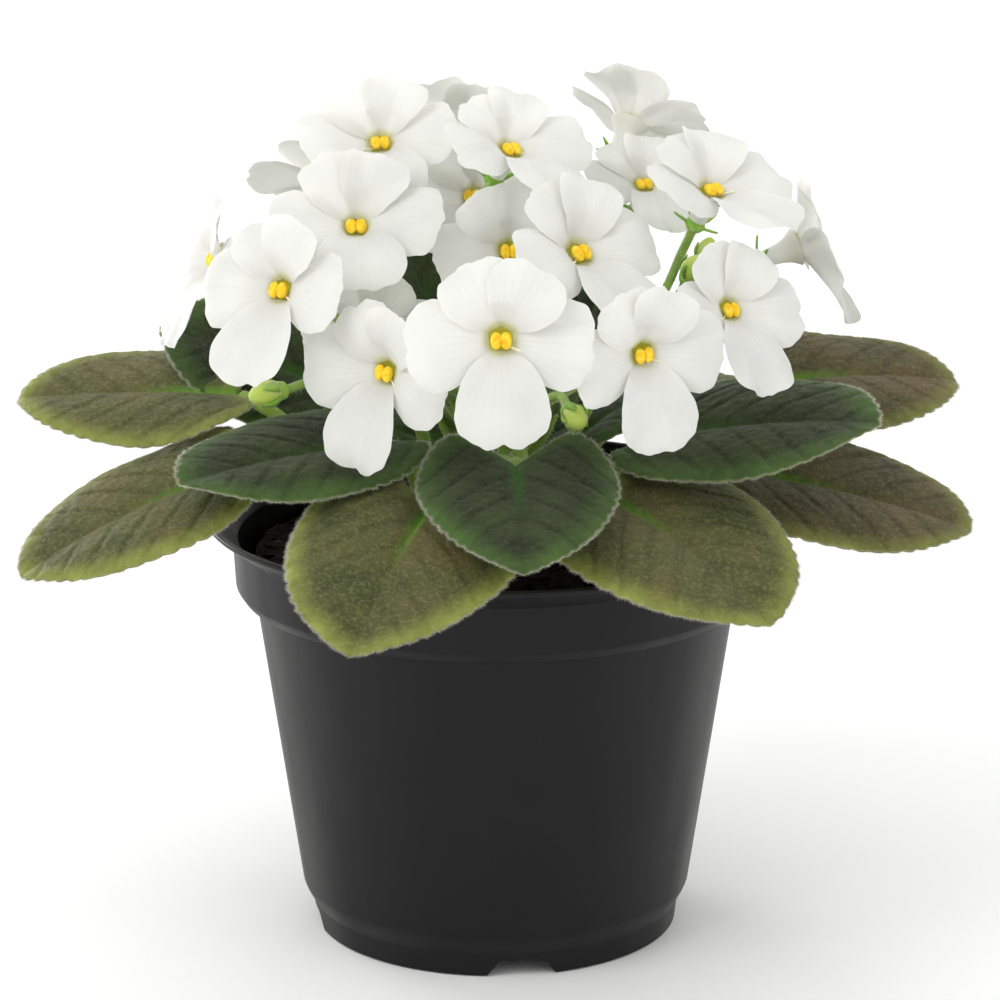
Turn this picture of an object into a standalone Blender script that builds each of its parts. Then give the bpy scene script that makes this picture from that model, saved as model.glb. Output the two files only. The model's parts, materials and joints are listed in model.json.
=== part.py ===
"""A potted African violet: a rosette of hairy leaves and a dome of white flowers in a black nursery pot.

Run with: blender --background --python part.py
Units are metres. Lengths below are in millimetres times MM, and angles in degrees.
The frame: +Z up, the origin on the pot's axis at the foot of the pot, and the viewer at -Y.
A compass angle is measured round the pot, 0 towards the viewer and 90 to the viewer's right.
"""

import math
import random

import bmesh
import bpy
from mathutils import Matrix, Vector, noise
from mathutils.geometry import delaunay_2d_cdt

MM = 0.001
GAP = 0.3 * MM  # between a piece and what it rests on
WELD = 0.00002  # merge distance for caps and poles
FINE_WELD = 0.000002  # and for a fused piece

# The pot
LIP_RADIUS = 60 * MM
POT_HEIGHT = 88.5 * MM
WALL = 1.1 * MM
BAND_RADIUS = 54.4 * MM
BAND_BOTTOM = 71.5 * MM
BODY_TOP_RADIUS = 49.9 * MM
BODY_FOOT_RADIUS = 40.6 * MM
FOOT_RADIUS = 37.9 * MM
FOOT_TOP = 5.0 * MM
FLOOR_TOP = 5.2 * MM
POT_STEPS = 32
NOTCH_COUNT = 4
NOTCH_FIRST = 8.2  # compass angle of the notch nearest the viewer
NOTCH_TOP_WIDTH = 9.5 * MM
NOTCH_FOOT_WIDTH = 14.3 * MM
NOTCH_HEIGHT = 3.6 * MM
DRAIN_RADIUS = 4.0 * MM
DRAIN_RING = 27.0 * MM

# The potting soil
SOIL_EDGE_HEIGHT = 79.5 * MM
SOIL_MOUND = 3.0 * MM
SOIL_GRAIN = 1.1 * MM
SOIL_STEPS = 22

# The crown, a short fleshy stem that stands in a plain hole in the soil
CROWN_RADIUS = 8.0 * MM
CROWN_FOOT = 66.0 * MM
CROWN_TOP = 99.0 * MM
YOUNG_COMPASS = (-50, 54, 128, -134)
YOUNG_SIZE = (15 * MM, 12 * MM)
YOUNG_SLOPE = (62, 30)

# What all the leaves share
LEAF_THICK = 1.0 * MM
LEAF_TOOTH = 0.55 * MM
LEAF_RIM_POINTS = 24  # every other one stands out as a tooth
LEAF_LOBE = 0.13  # the heart's two lobes reach back this share of the length
PETIOLE_RADIUS = 1.7 * MM
PETIOLE_TAPER = 0.65
PETIOLE_POINTS = 6
# Where the petiole runs under the blade as its midrib: share of the blade's length, depth below it
MIDRIB = ((-0.1, 1.5 * MM), (0, 1.2 * MM), (0.12, 0.9 * MM), (0.4, 0.5 * MM))

# What all the flower stalks share
STALK_RADIUS = 1.6 * MM
STALK_TAPER = 0.04  # lost at each point of its path
PEDICEL_RADIUS = 0.95 * MM
PEDICEL_SAG = 0.06
STALK_POINTS = 6
BUD_START = 5  # the point along a flower stalk where its buds branch off
# A bud's body: (radius, height) from its tip back
BUD = ((0, 0), (1.9 * MM, -1.5 * MM), (2.9 * MM, -4 * MM), (2.2 * MM, -6.4 * MM), (0, -7 * MM))
BUD_CALYX = 6 * MM
SEPALS = 5
SEPAL_REACH = 5.3 * MM
SEPAL_RISE = 0.4 * MM
CALYX_RADIUS = 2.2 * MM
CALYX_WIDEST = 1.2 * MM
CALYX_DEPTH = 2.8 * MM

# Leaves: where the petiole leaves the crown (compass, height), where the blade starts (compass, reach,
# height), the way the blade heads (compass), its slope at the base and at the tip, its roll, and its
# length and width. Heights, reaches and sizes are in millimetres.
LEAVES = {
    "leaf_outer_left": dict(
        root=(-94, 86), base=(-92, 53, 112), heading=-94,
        slope=(4, -8), roll=-16, size=(45, 40),
    ),
    "leaf_outer_front_left": dict(
        root=(-67, 86), base=(-66, 57, 102.5), heading=-66,
        slope=(-10, -32), roll=-10, size=(48, 40),
    ),
    "leaf_front_left": dict(
        root=(-20, 86), base=(-17, 44, 99.5), heading=-20,
        slope=(-12, -34), roll=0, size=(49, 45),
    ),
    "leaf_front_right": dict(
        root=(33, 86), base=(35, 38, 99), heading=37,
        slope=(-2, -30), roll=0, size=(50, 45),
    ),
    "leaf_outer_right": dict(
        root=(70, 86), base=(73, 53, 100), heading=74,
        slope=(-4, -18), roll=12, size=(47, 40),
    ),
    "leaf_outer_back_right": dict(
        root=(100, 86), base=(98, 56, 113), heading=100,
        slope=(8, -12), roll=18, size=(41, 36),
    ),
    "leaf_inner_back_left": dict(
        root=(-118, 90.5), base=(-110, 34, 114), heading=-108,
        slope=(38, 26), roll=-34, size=(34, 31),
    ),
    "leaf_inner_left": dict(
        root=(-48, 90.5), base=(-46, 31, 108), heading=-58,
        slope=(4, -8), roll=-10, size=(45, 38),
    ),
    "leaf_inner_front": dict(
        root=(6, 90.5), base=(4, 35, 109), heading=3,
        slope=(-6, -22), roll=0, size=(43, 42),
    ),
    "leaf_inner_right": dict(
        root=(62, 90.5), base=(62, 36, 107.5), heading=68,
        slope=(20, 2), roll=18, size=(48, 40),
    ),
    "leaf_outer_back_far_right": dict(
        root=(138, 86), base=(138, 44, 103), heading=138,
        slope=(6, -20), roll=0, size=(44, 41),
    ),
    "leaf_outer_back": dict(
        root=(178, 86), base=(178, 40, 101), heading=176,
        slope=(4, -24), roll=0, size=(46, 43),
    ),
    "leaf_outer_back_far_left": dict(
        root=(-140, 86), base=(-142, 44, 102), heading=-142,
        slope=(6, -20), roll=0, size=(44, 41),
    ),
    "leaf_inner_back": dict(
        root=(158, 90.5), base=(158, 30, 110), heading=158,
        slope=(16, -8), roll=0, size=(40, 37),
    ),
}

# Flowers: the eye's place in millimetres, the compass way it faces, its tilt above level,
# how far its petals lean forward of a flat face, its spin and its size.
FLOWERS = {
    "front_middle": dict(eye=(1, -61, 140), face=2, tilt=15, cup=8, spin=0, size=1.06),
    "front_left": dict(eye=(-20, -44, 129), face=-35, tilt=9, cup=20, spin=-4, size=0.97),
    "front_right": dict(eye=(27.5, -50.5, 134.5), face=26, tilt=4, cup=17, spin=4, size=0.94),
    "right": dict(eye=(45, -28, 137), face=40, tilt=26, cup=21, spin=-4, size=0.92),
    "left": dict(eye=(-41, -34, 142.5), face=-33, tilt=25, cup=20, spin=4, size=1.0),
    "upper_left": dict(eye=(-28, -15.5, 150), face=5, tilt=50, cup=25, spin=0, size=1.04),
    "top_left": dict(eye=(-23.5, 7.5, 162.5), face=0, tilt=51, cup=22, spin=6, size=0.93),
    "top_middle": dict(eye=(2, -5, 163.5), face=40, tilt=54, cup=20, spin=-4, size=0.95),
    "middle_right": dict(eye=(15, -32, 148.5), face=44, tilt=42, cup=20, spin=0, size=1.06),
    "middle": dict(eye=(2.5, -12.5, 144.5), face=9, tilt=25, cup=18, spin=0, size=0.95),
    "middle_deep": dict(eye=(-4, 10.5, 151.5), face=-22, tilt=39, cup=20, spin=6, size=0.85),
    "upper_right": dict(eye=(42.5, -10.5, 156), face=41, tilt=59, cup=22, spin=0, size=1.0),
    "upper_right_deep": dict(eye=(30, 12, 153), face=21, tilt=47, cup=20, spin=0, size=0.85),
    "top_right_back": dict(eye=(27, 22, 163.5), face=150, tilt=46, cup=24, spin=0, size=0.95),
    "far_right": dict(eye=(60, 8, 141.5), face=104, tilt=4, cup=22, spin=0, size=0.95),
    "far_left": dict(eye=(-54.5, -12, 143.5), face=-54, tilt=20, cup=22, spin=0, size=0.92),
    "upper_left_back": dict(eye=(-36, 18, 152), face=-160, tilt=50, cup=22, spin=0, size=0.88),
    "low_left_deep": dict(eye=(-24.5, -16, 132.5), face=-4, tilt=14, cup=16, spin=0, size=0.85),
    "top_back": dict(eye=(-8.5, 30, 158.5), face=176, tilt=46, cup=20, spin=0, size=0.95),
}

# Flower stalks: where each leaves the crown (compass, height), where it forks (compass, reach, height),
# the flowers it carries, with the place its small stalk bends through to clear other petals, or None,
# and its buds (tip in millimetres, compass way and tilt it points, size).
STALKS = {
    "stalk_left": dict(
        root=(-82, 95),
        fork=(-96, 21, 125),
        flowers=dict(far_left=None, upper_left=None, upper_left_back=None),
        buds=(((-49, -30, 120), -60, -4, 1.0),),
    ),
    "stalk_front": dict(
        root=(-22, 95),
        fork=(-16, 22, 118),
        flowers=dict(
            front_middle=None,
            front_left=None,
            low_left_deep=None,
            left=(-20, -26.5, 126),
        ),
        buds=(((17, -40, 117), 20, -10, 0.9),),
    ),
    "stalk_middle": dict(
        root=(24, 95),
        fork=(20, 9, 132),
        flowers=dict(middle=None, top_middle=(7, -8, 146)),
        buds=(),
    ),
    "stalk_right": dict(
        root=(84, 95),
        fork=(70, 24, 120),
        flowers=dict(
            right=None,
            front_right=None,
            far_right=None,
            upper_right=(33, -13, 136),
            middle_right=(17, -25, 131),
        ),
        buds=(((41, -14, 145), 30, 50, 0.9), ((44, 0, 146), 80, 70, 0.8)),
    ),
    "stalk_back": dict(
        root=(172, 95),
        fork=(172, 18, 128),
        flowers=dict(
            top_right_back=(13, 26, 142),
            upper_right_deep=None,
            top_back=None,
            top_left=None,
            middle_deep=None,
        ),
        buds=(((12, 44, 146), 170, 40, 0.9),),
    ),
}

# The five petals: the angle in the flower's face, the length from its eye, the width, the layer from
# back to front, and how much the edges curl forward.
PETALS = (
    dict(angle=98, length=18.5, width=16.5, layer=0, curl=-0.05),
    dict(angle=-98, length=18.5, width=16.5, layer=0, curl=-0.05),
    dict(angle=180, length=22, width=17, layer=1, curl=0.03),
    dict(angle=27, length=15.5, width=14.5, layer=1, curl=0.0),
    dict(angle=-27, length=15.5, width=14.5, layer=2, curl=0.05),
)
PETAL_THICK = 0.62 * MM
FACE_REACH = 22 * MM
FACE_CURL = (14, -16)  # degrees that the face leans further forward at the eye and at the rim
LAYER_STEP = 0.9 * MM
LAYER_START = 3.4 * MM  # the petals part into layers beyond this reach
LAYER_FULL = 4 * MM
RUFFLE = 0.5 * MM
RUFFLE_WAVES = 9
THROAT_RADIUS = 3.0 * MM
THROAT_SIDES = 6
TUBE_DEPTH = 5.0 * MM
ANTHER_RADIUS = 1.1 * MM
ANTHER_SPREAD = 0.95 * MM
ANTHER_HEIGHT = 3.1 * MM
FILAMENT_RADIUS = 0.7 * MM


def clear_scene():
    for obj in list(bpy.data.objects):
        bpy.data.objects.remove(obj)
    for group in list(bpy.data.collections):
        bpy.data.collections.remove(group)


def collection(name):
    group = bpy.data.collections.new(name)
    bpy.context.scene.collection.children.link(group)
    return group


def material(name, colour, roughness):
    made = bpy.data.materials.new(name)
    made.use_nodes = True
    shader = made.node_tree.nodes["Principled BSDF"]
    shader.inputs["Base Color"].default_value = (*colour, 1)
    shader.inputs["Roughness"].default_value = roughness
    return made


def out_from_axis(compass, reach, height):
    """The point at this compass angle and reach from the pot's axis."""
    turn = math.radians(compass)
    return Vector((reach * math.sin(turn), -reach * math.cos(turn), height))


def add(mesh, name, group, finish=None, smooth=True):
    """Puts a mesh in the scene as an object, shaded smooth over its soft edges."""
    obj = bpy.data.objects.new(name, mesh)
    group.objects.link(obj)
    if finish:
        mesh.materials.clear()
        mesh.materials.append(finish)
    if smooth:
        mesh.shade_smooth()
        mesh.set_sharp_from_angle(angle=math.radians(40))
    return obj


def baked(obj, name, weld=WELD):
    """The object's evaluated mesh, in world space and welded, with the object then removed."""
    bpy.context.view_layer.update()
    graph = bpy.context.evaluated_depsgraph_get()
    mesh = bpy.data.meshes.new_from_object(obj.evaluated_get(graph))
    mesh.transform(obj.matrix_world)
    mesh.name = name
    work = bmesh.new()
    work.from_mesh(mesh)
    bmesh.ops.remove_doubles(work, verts=work.verts, dist=weld)
    work.to_mesh(mesh)
    work.free()
    bpy.data.objects.remove(obj)
    return mesh


def turned(profile, steps, group, name="turned"):
    """A profile of (radius, height) points spun about Z with a Screw modifier."""
    mesh = bpy.data.meshes.new(name)
    points = [(radius, 0, height) for radius, height in profile]
    edges = [(i, i + 1) for i in range(len(points) - 1)]
    mesh.from_pydata(points, edges, [])
    obj = bpy.data.objects.new(name, mesh)
    group.objects.link(obj)
    screw = obj.modifiers.new("spin", "SCREW")
    screw.steps = screw.render_steps = steps
    screw.use_merge_vertices = True
    screw.merge_threshold = WELD
    return obj


def tube(path, radii, sides, group, name="tube"):
    """A round stem along the path, with a radius at each point and filled caps."""
    curve = bpy.data.curves.new(name, "CURVE")
    curve.dimensions = "3D"
    curve.bevel_depth = 1.0
    curve.bevel_resolution = max(0, sides // 2 - 2)
    curve.use_fill_caps = True
    spline = curve.splines.new("POLY")
    spline.points.add(len(path) - 1)
    for point, place, radius in zip(spline.points, path, radii):
        point.co = (*place, 1)
        point.radius = radius
    obj = bpy.data.objects.new(name, curve)
    group.objects.link(obj)
    mesh = baked(obj, name)
    return add(mesh, name, group)


def fused(name, pieces, group, finish):
    """One Boolean union of the loose pieces, as a single object with this name."""
    first, others = pieces[0], pieces[1:]
    workshop = bpy.data.collections.new("to fuse")
    for piece in others:
        workshop.objects.link(piece)
    join = first.modifiers.new("fuse", "BOOLEAN")
    join.operation = "UNION"
    join.solver = "EXACT"
    join.operand_type = "COLLECTION"
    join.collection = workshop
    mesh = baked(first, name, FINE_WELD)
    for piece in others:
        bpy.data.objects.remove(piece)
    bpy.data.collections.remove(workshop)
    keep_largest_shell(mesh)
    return add(mesh, name, group, finish)


def keep_largest_shell(mesh):
    """Drops loose scraps, and fills sealed hollows by dropping their inner shells."""
    work = bmesh.new()
    work.from_mesh(mesh)
    work.verts.index_update()
    seen = set()
    shells = []
    for start in work.verts:
        if start.index in seen:
            continue
        shell = [start]
        seen.add(start.index)
        for vert in shell:
            for edge in vert.link_edges:
                other = edge.other_vert(vert)
                if other.index not in seen:
                    seen.add(other.index)
                    shell.append(other)
        shells.append(shell)
    shells.sort(key=len)
    for shell in shells[:-1]:
        bmesh.ops.delete(work, geom=shell, context="VERTS")
    work.to_mesh(mesh)
    work.free()


def smooth_path(points, count):
    """Points along a Catmull-Rom curve through the given points."""
    ends = [2 * points[0] - points[1], *points, 2 * points[-1] - points[-2]]
    spans = len(points) - 1
    path = []
    for i in range(count):
        place = i / (count - 1) * spans
        k = min(int(place), spans - 1)
        t = place - k
        a, b, c, d = ends[k : k + 4]
        square = (2 * a - 5 * b + 4 * c - d) * t**2
        cube = (3 * b - a - 3 * c + d) * t**3
        path.append((2 * b + (c - a) * t + square + cube) / 2)
    return path


def sheet(outline, inner, bend, thickness, group, name="sheet"):
    """A thin blade: a flat outline and inner points, triangulated, bent to shape and thickened.

    The triangles come before the thickness, so both faces split alike.
    """
    flat = [Vector(p) for p in outline + inner]
    loop = list(range(len(outline)))
    points, _, faces, _, _, _ = delaunay_2d_cdt(flat, [], [loop], 1, 1e-7)
    mesh = bpy.data.meshes.new(name)
    mesh.from_pydata([bend(p.x, p.y) for p in points], [], faces)
    obj = bpy.data.objects.new(name, mesh)
    group.objects.link(obj)
    skin = obj.modifiers.new("thickness", "SOLIDIFY")
    skin.thickness = thickness
    skin.offset = 0
    return add(baked(obj, name), name, group)


def leaf_outline(length, width, count=LEAF_RIM_POINTS, tooth=LEAF_TOOTH):
    """A broad heart-shaped blade with a scalloped edge, its stalk joining at (0, 0)."""
    lobe = LEAF_LOBE * length
    points = []
    for i in range(count):
        turn = 2 * math.pi * i / count
        side = math.sin(turn)
        down = 1 - math.cos(turn)
        near = min(turn, 2 * math.pi - turn)
        scallop = tooth * (0.5 - i % 2) if 0 < i < count else 0
        across = 0.5 * width * math.copysign(abs(side) ** 0.88, side)
        along = (length + lobe) * down / 2
        along -= lobe * (1 - math.exp(-((near / 0.22) ** 2)))
        along += 0.03 * length * math.exp(-(((math.pi - near) / 0.3) ** 2))
        centre = Vector((0, 0.45 * length))
        rim = Vector((across, along))
        outward = (rim - centre).normalized()
        points.append(tuple(rim + outward * scallop))
    return points


def leaf_inner(length, width):
    """Points inside the blade: down the midrib, and a row each side for the quilting."""
    middle = [(0, length * share) for share in (0.18, 0.42, 0.64, 0.84)]
    rows = []
    for share in (0.12, 0.4, 0.68):
        reach = 0.27 * width * math.sin(math.pi * (0.2 + 0.72 * share))
        rows += [(-reach, length * (share + 0.06)), (reach, length * (share + 0.06))]
    return middle + rows


def arch(distance, length, slope):
    """Where a blade's midrib is after this distance: (out, up, angle). Its slope changes evenly."""
    start, end = (math.radians(angle) for angle in slope)
    curl = (end - start) / length
    if distance <= 0 or abs(curl) < 1e-6:
        return distance * math.cos(start), distance * math.sin(start), start
    angle = start + curl * distance
    return (math.sin(angle) - math.sin(start)) / curl, (math.cos(start) - math.cos(angle)) / curl, angle


def leaf_bend(length, width, slope, seed):
    """The blade's surface: a gutter along the midrib, drooping shoulders, and puckers between veins."""
    wave = random.Random(seed).uniform(0, 6.28)

    def bend(across, along):
        out, up, angle = arch(along, length, slope)
        share = 2 * across / width
        gutter = 0.1 + 0.18 * math.exp(-max(0, along + LEAF_LOBE * length) / (0.3 * length))
        lift = width * (gutter * abs(share) ** 0.8 - 0.15 * share**2)
        lift += 0.5 * MM * math.sin(9 * along / length + 2.5 * abs(share) + wave) * abs(share)
        return Vector((across, out - lift * math.sin(angle), up + lift * math.cos(angle)))

    return bend


def blade_frame(base, heading, roll):
    """Local blade axes (across, out, up) to the world, at the base point."""
    turn = Matrix.Rotation(math.radians(heading) + math.pi, 4, "Z")
    tip = Matrix.Rotation(math.radians(roll), 4, "Y")
    return Matrix.Translation(base) @ turn @ tip


def leaf_pieces(spec, group, seed, sides=6):
    """The loose pieces of a leaf: its blade, and its petiole, which runs on as the midrib."""
    length, width = (size * MM for size in spec["size"])
    compass, reach, height = spec["base"]
    base = out_from_axis(compass, reach * MM, height * MM)
    frame = blade_frame(base, spec["heading"], spec["roll"])
    bend = leaf_bend(length, width, spec["slope"], seed)
    blade = sheet(leaf_outline(length, width), leaf_inner(length, width), bend, LEAF_THICK, group)
    blade.matrix_world = frame

    root_compass, root_height = spec["root"]
    root = out_from_axis(root_compass, CROWN_RADIUS + GAP, root_height * MM)
    start = out_from_axis(root_compass, CROWN_RADIUS + 3 * MM, root_height * MM)
    rise = out_from_axis(root_compass, CROWN_RADIUS + 11 * MM, root_height * MM + 3.2 * MM)
    under = []
    for share, depth in MIDRIB:
        under.append(frame @ (bend(0, share * length) - Vector((0, 0, depth))))
    path = [root] + smooth_path([start, rise, *under], PETIOLE_POINTS)
    radii = [PETIOLE_RADIUS * (1 - PETIOLE_TAPER * max(0, i - 2) / 4) for i in range(len(path))]
    petiole = tube(path, radii, sides, group)
    return [blade, petiole]


def build_leaves(group, finish):
    for seed, (name, spec) in enumerate(LEAVES.items()):
        fused(name, leaf_pieces(spec, group, seed), group, finish[name])


def petal_outline(length, width):
    """A rounded petal, narrow where it leaves the throat. Its distances run from the flower's eye."""
    root = THROAT_RADIUS - 0.5 * MM
    half = [(0.13 * width, 0), (0.41 * width, 0.32), (0.5 * width, 0.64), (0.38 * width, 0.89)]
    right = [(x, root + share * (length - root)) for x, share in half]
    left = [(-x, y) for x, y in reversed(right)]
    return right + [(0, length)] + left


def face_height(reach, cup):
    """Where the flower's face is at this reach from the eye: (out, up)."""
    out, up, _ = arch(reach, FACE_REACH, (cup + FACE_CURL[0], cup + FACE_CURL[1]))
    return out, up


def petal_bend(petal, swing, width, cup, phase):
    """All petals follow one face, each in its own layer, so that they overlap without crossing."""

    def bend(across, along):
        x = across * math.cos(swing) - along * math.sin(swing)
        y = across * math.sin(swing) + along * math.cos(swing)
        reach = math.hypot(x, y)
        out, up = face_height(reach, cup)
        open_share = min(1, max(0, reach - LAYER_START) / LAYER_FULL)
        up += petal["layer"] * LAYER_STEP * open_share
        up += petal["curl"] * width * (2 * across / width) ** 2 * open_share
        up += RUFFLE * (reach / FACE_REACH) ** 2 * math.sin(RUFFLE_WAVES * math.atan2(x, y) + phase)
        return Vector((x * out / reach, y * out / reach, up))

    return bend


def flower_frame(spec):
    """The flower's own axes to the world: x across its face, y up its face, z the way it faces."""
    eye = Vector(spec["eye"]) * MM
    turn = Matrix.Rotation(math.radians(spec["face"]), 4, "Z")
    tilt = Matrix.Rotation(math.radians(90 - spec["tilt"]), 4, "X")
    spin = Matrix.Rotation(math.radians(spec["spin"]), 4, "Z")
    return Matrix.Translation(eye) @ turn @ tilt @ spin @ Matrix.Scale(spec["size"], 4)


def flower_petals(name, spec, group, finish, seed):
    """The white corolla: five petals whose roots are sunk in a short tube, dimpled for the anthers."""
    rng = random.Random(seed)
    frame = flower_frame(spec)
    inside, outside = THROAT_RADIUS - 0.7 * MM, THROAT_RADIUS + 1.2 * MM
    profile = [
        (0, -0.5 * MM),
        (inside, face_height(inside, spec["cup"])[1] + 0.7 * MM),
        (outside, face_height(outside, spec["cup"])[1] + 0.2 * MM),
        (1.9 * MM, -TUBE_DEPTH),
        (0, -TUBE_DEPTH),
    ]
    pieces = [add(baked(turned(profile, THROAT_SIDES, group), "tube"), "tube", group)]
    pieces[0].matrix_world = frame
    phase = rng.uniform(0, 2 * math.pi)
    cup = spec["cup"]
    for petal in PETALS:
        length = petal["length"] * MM * rng.uniform(0.96, 1.04)
        width = petal["width"] * MM * rng.uniform(0.96, 1.04)
        swing = math.radians(petal["angle"] + rng.uniform(-4, 4))
        bend = petal_bend(petal, swing, width, cup, phase)
        piece = sheet(petal_outline(length, width), [(0, 0.55 * length)], bend, PETAL_THICK, group)
        piece.matrix_world = frame
        pieces.append(piece)
    return fused(name, pieces, group, finish)


def flower_anthers(name, spec, group, finish):
    """The pair of yellow anthers, joined on a short filament that stands in the throat."""
    frame = flower_frame(spec)
    pieces = []
    for side in (-1, 1):
        work = bmesh.new()
        bmesh.ops.create_icosphere(work, subdivisions=1, radius=ANTHER_RADIUS)
        mesh = bpy.data.meshes.new("anther")
        work.to_mesh(mesh)
        work.free()
        lobe = add(mesh, "anther", group)
        place = Matrix.Translation((side * ANTHER_SPREAD, -0.4 * MM, ANTHER_HEIGHT))
        lobe.matrix_world = frame @ place @ Matrix.Diagonal((1, 1.6, 0.9, 1))
        pieces.append(lobe)
    foot = frame @ Vector((0, 0, 0.7 * MM))
    head = frame @ Vector((0, -0.3 * MM, ANTHER_HEIGHT - 0.5 * MM))
    pieces.append(tube([foot, head], [FILAMENT_RADIUS] * 2, 4, group))
    return fused(name, pieces, group, finish)


def calyx(frame, group):
    """The green cup behind a flower's tube, with five narrow sepals. Its front is the frame's z = 0."""
    profile = [(0, 0), (CALYX_RADIUS, -CALYX_WIDEST), (CALYX_RADIUS / 2, -CALYX_DEPTH), (0, -CALYX_DEPTH)]
    mesh = baked(turned(profile, 2 * SEPALS, group), "calyx")
    for vert in mesh.vertices:
        turn = math.atan2(vert.co.y, vert.co.x) / (math.pi / SEPALS)
        if abs(vert.co.z + CALYX_WIDEST) < WELD and round(turn) % 2 == 0:
            vert.co.xy *= SEPAL_REACH / vert.co.xy.length
            vert.co.z = SEPAL_RISE
    cup = add(mesh, "calyx", group)
    cup.matrix_world = frame
    return cup


def bud_pieces(frame, size, group):
    """A closed bud: a plump pointed body in its calyx, whose tip is the frame's origin."""
    profile = [(radius * size, height * size) for radius, height in BUD]
    body = add(baked(turned(profile, 6, group), "bud"), "bud", group)
    body.matrix_world = frame
    return [body, calyx(frame @ Matrix.Translation((0, 0, -BUD_CALYX * size)), group)]


def aimed(place, face, tilt):
    """A frame at this place whose z points along the compass way and tilt."""
    turn = Matrix.Rotation(math.radians(face), 4, "Z")
    return Matrix.Translation(place) @ turn @ Matrix.Rotation(math.radians(90 - tilt), 4, "X")


def pedicel(fork, frame, group, via=None):
    """A thin stalk from the fork to the foot of a calyx, which it meets along the calyx's axis."""
    foot = frame @ Vector((0, 0, -CALYX_DEPTH + 0.4 * MM))
    behind = frame @ Vector((0, 0, -9 * MM))
    sag = Vector((0, 0, -PEDICEL_SAG * (fork - behind).length))
    middle = Vector(via) * MM if via else (fork + behind) / 2 + sag
    path = smooth_path([fork, middle, behind, foot], STALK_POINTS)
    return tube(path, [PEDICEL_RADIUS] * len(path), 4, group)


def build_stalks(group, finish):
    for name, spec in STALKS.items():
        compass, height = spec["root"]
        root = out_from_axis(compass, CROWN_RADIUS + 1.6 * GAP, height * MM)
        start = out_from_axis(compass, CROWN_RADIUS + 2.6 * MM, height * MM + 0.4 * MM)
        bend = out_from_axis(compass, CROWN_RADIUS + 5.5 * MM, height * MM + 4.5 * MM)
        fork_compass, reach, fork_height = spec["fork"]
        fork = out_from_axis(fork_compass, reach * MM, fork_height * MM)
        path = [root] + smooth_path([start, bend, fork], STALK_POINTS)
        radii = [STALK_RADIUS * (1 - STALK_TAPER * i) for i in range(len(path))]
        pieces = [tube(path, radii, 6, group)]
        for flower, via in spec["flowers"].items():
            size = FLOWERS[flower]["size"]
            frame = flower_frame(FLOWERS[flower]) @ Matrix.Scale(1 / size, 4)
            frame = frame @ Matrix.Translation((0, 0, -TUBE_DEPTH * size - 1.3 * GAP))
            pieces.append(calyx(frame, group))
            pieces.append(pedicel(fork, frame, group, via))
        for tip, face, tilt, size in spec["buds"]:
            frame = aimed(Vector(tip) * MM, face, tilt)
            pieces += bud_pieces(frame, size, group)
            foot = frame @ Matrix.Translation((0, 0, -BUD_CALYX * size))
            pieces.append(pedicel(path[BUD_START], foot, group))
        fused(name, pieces, group, finish)


def build_flowers(group, white, yellow):
    for seed, (name, spec) in enumerate(FLOWERS.items()):
        flower_petals("petals_" + name, spec, group, white, seed)
        flower_anthers("anthers_" + name, spec, group, yellow)


def build_pot(group, finish):
    """The moulded pot: a flared lip, an upright band, a tapered body and a notched foot."""
    profile = [
        (LIP_RADIUS, POT_HEIGHT),
        (LIP_RADIUS, POT_HEIGHT - 0.9 * MM),
        (BAND_RADIUS + 0.1 * MM, POT_HEIGHT - 5.0 * MM),
        (BAND_RADIUS - 0.5 * MM, BAND_BOTTOM + 2.2 * MM),
        (BAND_RADIUS - 1.8 * MM, BAND_BOTTOM + 0.2 * MM),
        (BODY_TOP_RADIUS, BAND_BOTTOM - 0.2 * MM),
        (BODY_FOOT_RADIUS, 9 * MM),
        (BODY_FOOT_RADIUS - 0.7 * MM, 7.4 * MM),
        (FOOT_RADIUS + 0.6 * MM, FOOT_TOP),
        (FOOT_RADIUS, 0),
        (FOOT_RADIUS - 1.6 * MM, 0),
        (FOOT_RADIUS - 1.4 * MM, FLOOR_TOP - 1.3 * MM),
        (0, FLOOR_TOP - 1.3 * MM),
        (0, FLOOR_TOP),
        (FOOT_RADIUS - 0.9 * MM, FLOOR_TOP),
        (BODY_FOOT_RADIUS - WALL, 9 * MM),
        (BODY_TOP_RADIUS - WALL, BAND_BOTTOM + 0.6 * MM),
        (BAND_RADIUS - 0.5 * MM - WALL, BAND_BOTTOM + 3.2 * MM),
        (BAND_RADIUS - WALL, POT_HEIGHT - 5 * MM),
        (LIP_RADIUS - 1.2 * MM, POT_HEIGHT),
        (LIP_RADIUS, POT_HEIGHT),
    ]
    pot = turned(profile, POT_STEPS, group, "pot")
    cutters = collection("pot cutters")
    cutters.hide_render = True
    for i in range(NOTCH_COUNT):
        compass = NOTCH_FIRST + 360 / NOTCH_COUNT * i
        notch_cutter(compass, cutters)
        drain_cutter(compass, cutters)
    cut = pot.modifiers.new("notches and drains", "BOOLEAN")
    cut.operation = "DIFFERENCE"
    cut.operand_type = "COLLECTION"
    cut.collection = cutters
    pot.data.materials.append(finish)
    mesh = baked(pot, "pot")
    add(mesh, "pot", group, finish)
    for cutter in list(cutters.objects):
        bpy.data.objects.remove(cutter)
    bpy.data.collections.remove(cutters)


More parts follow.
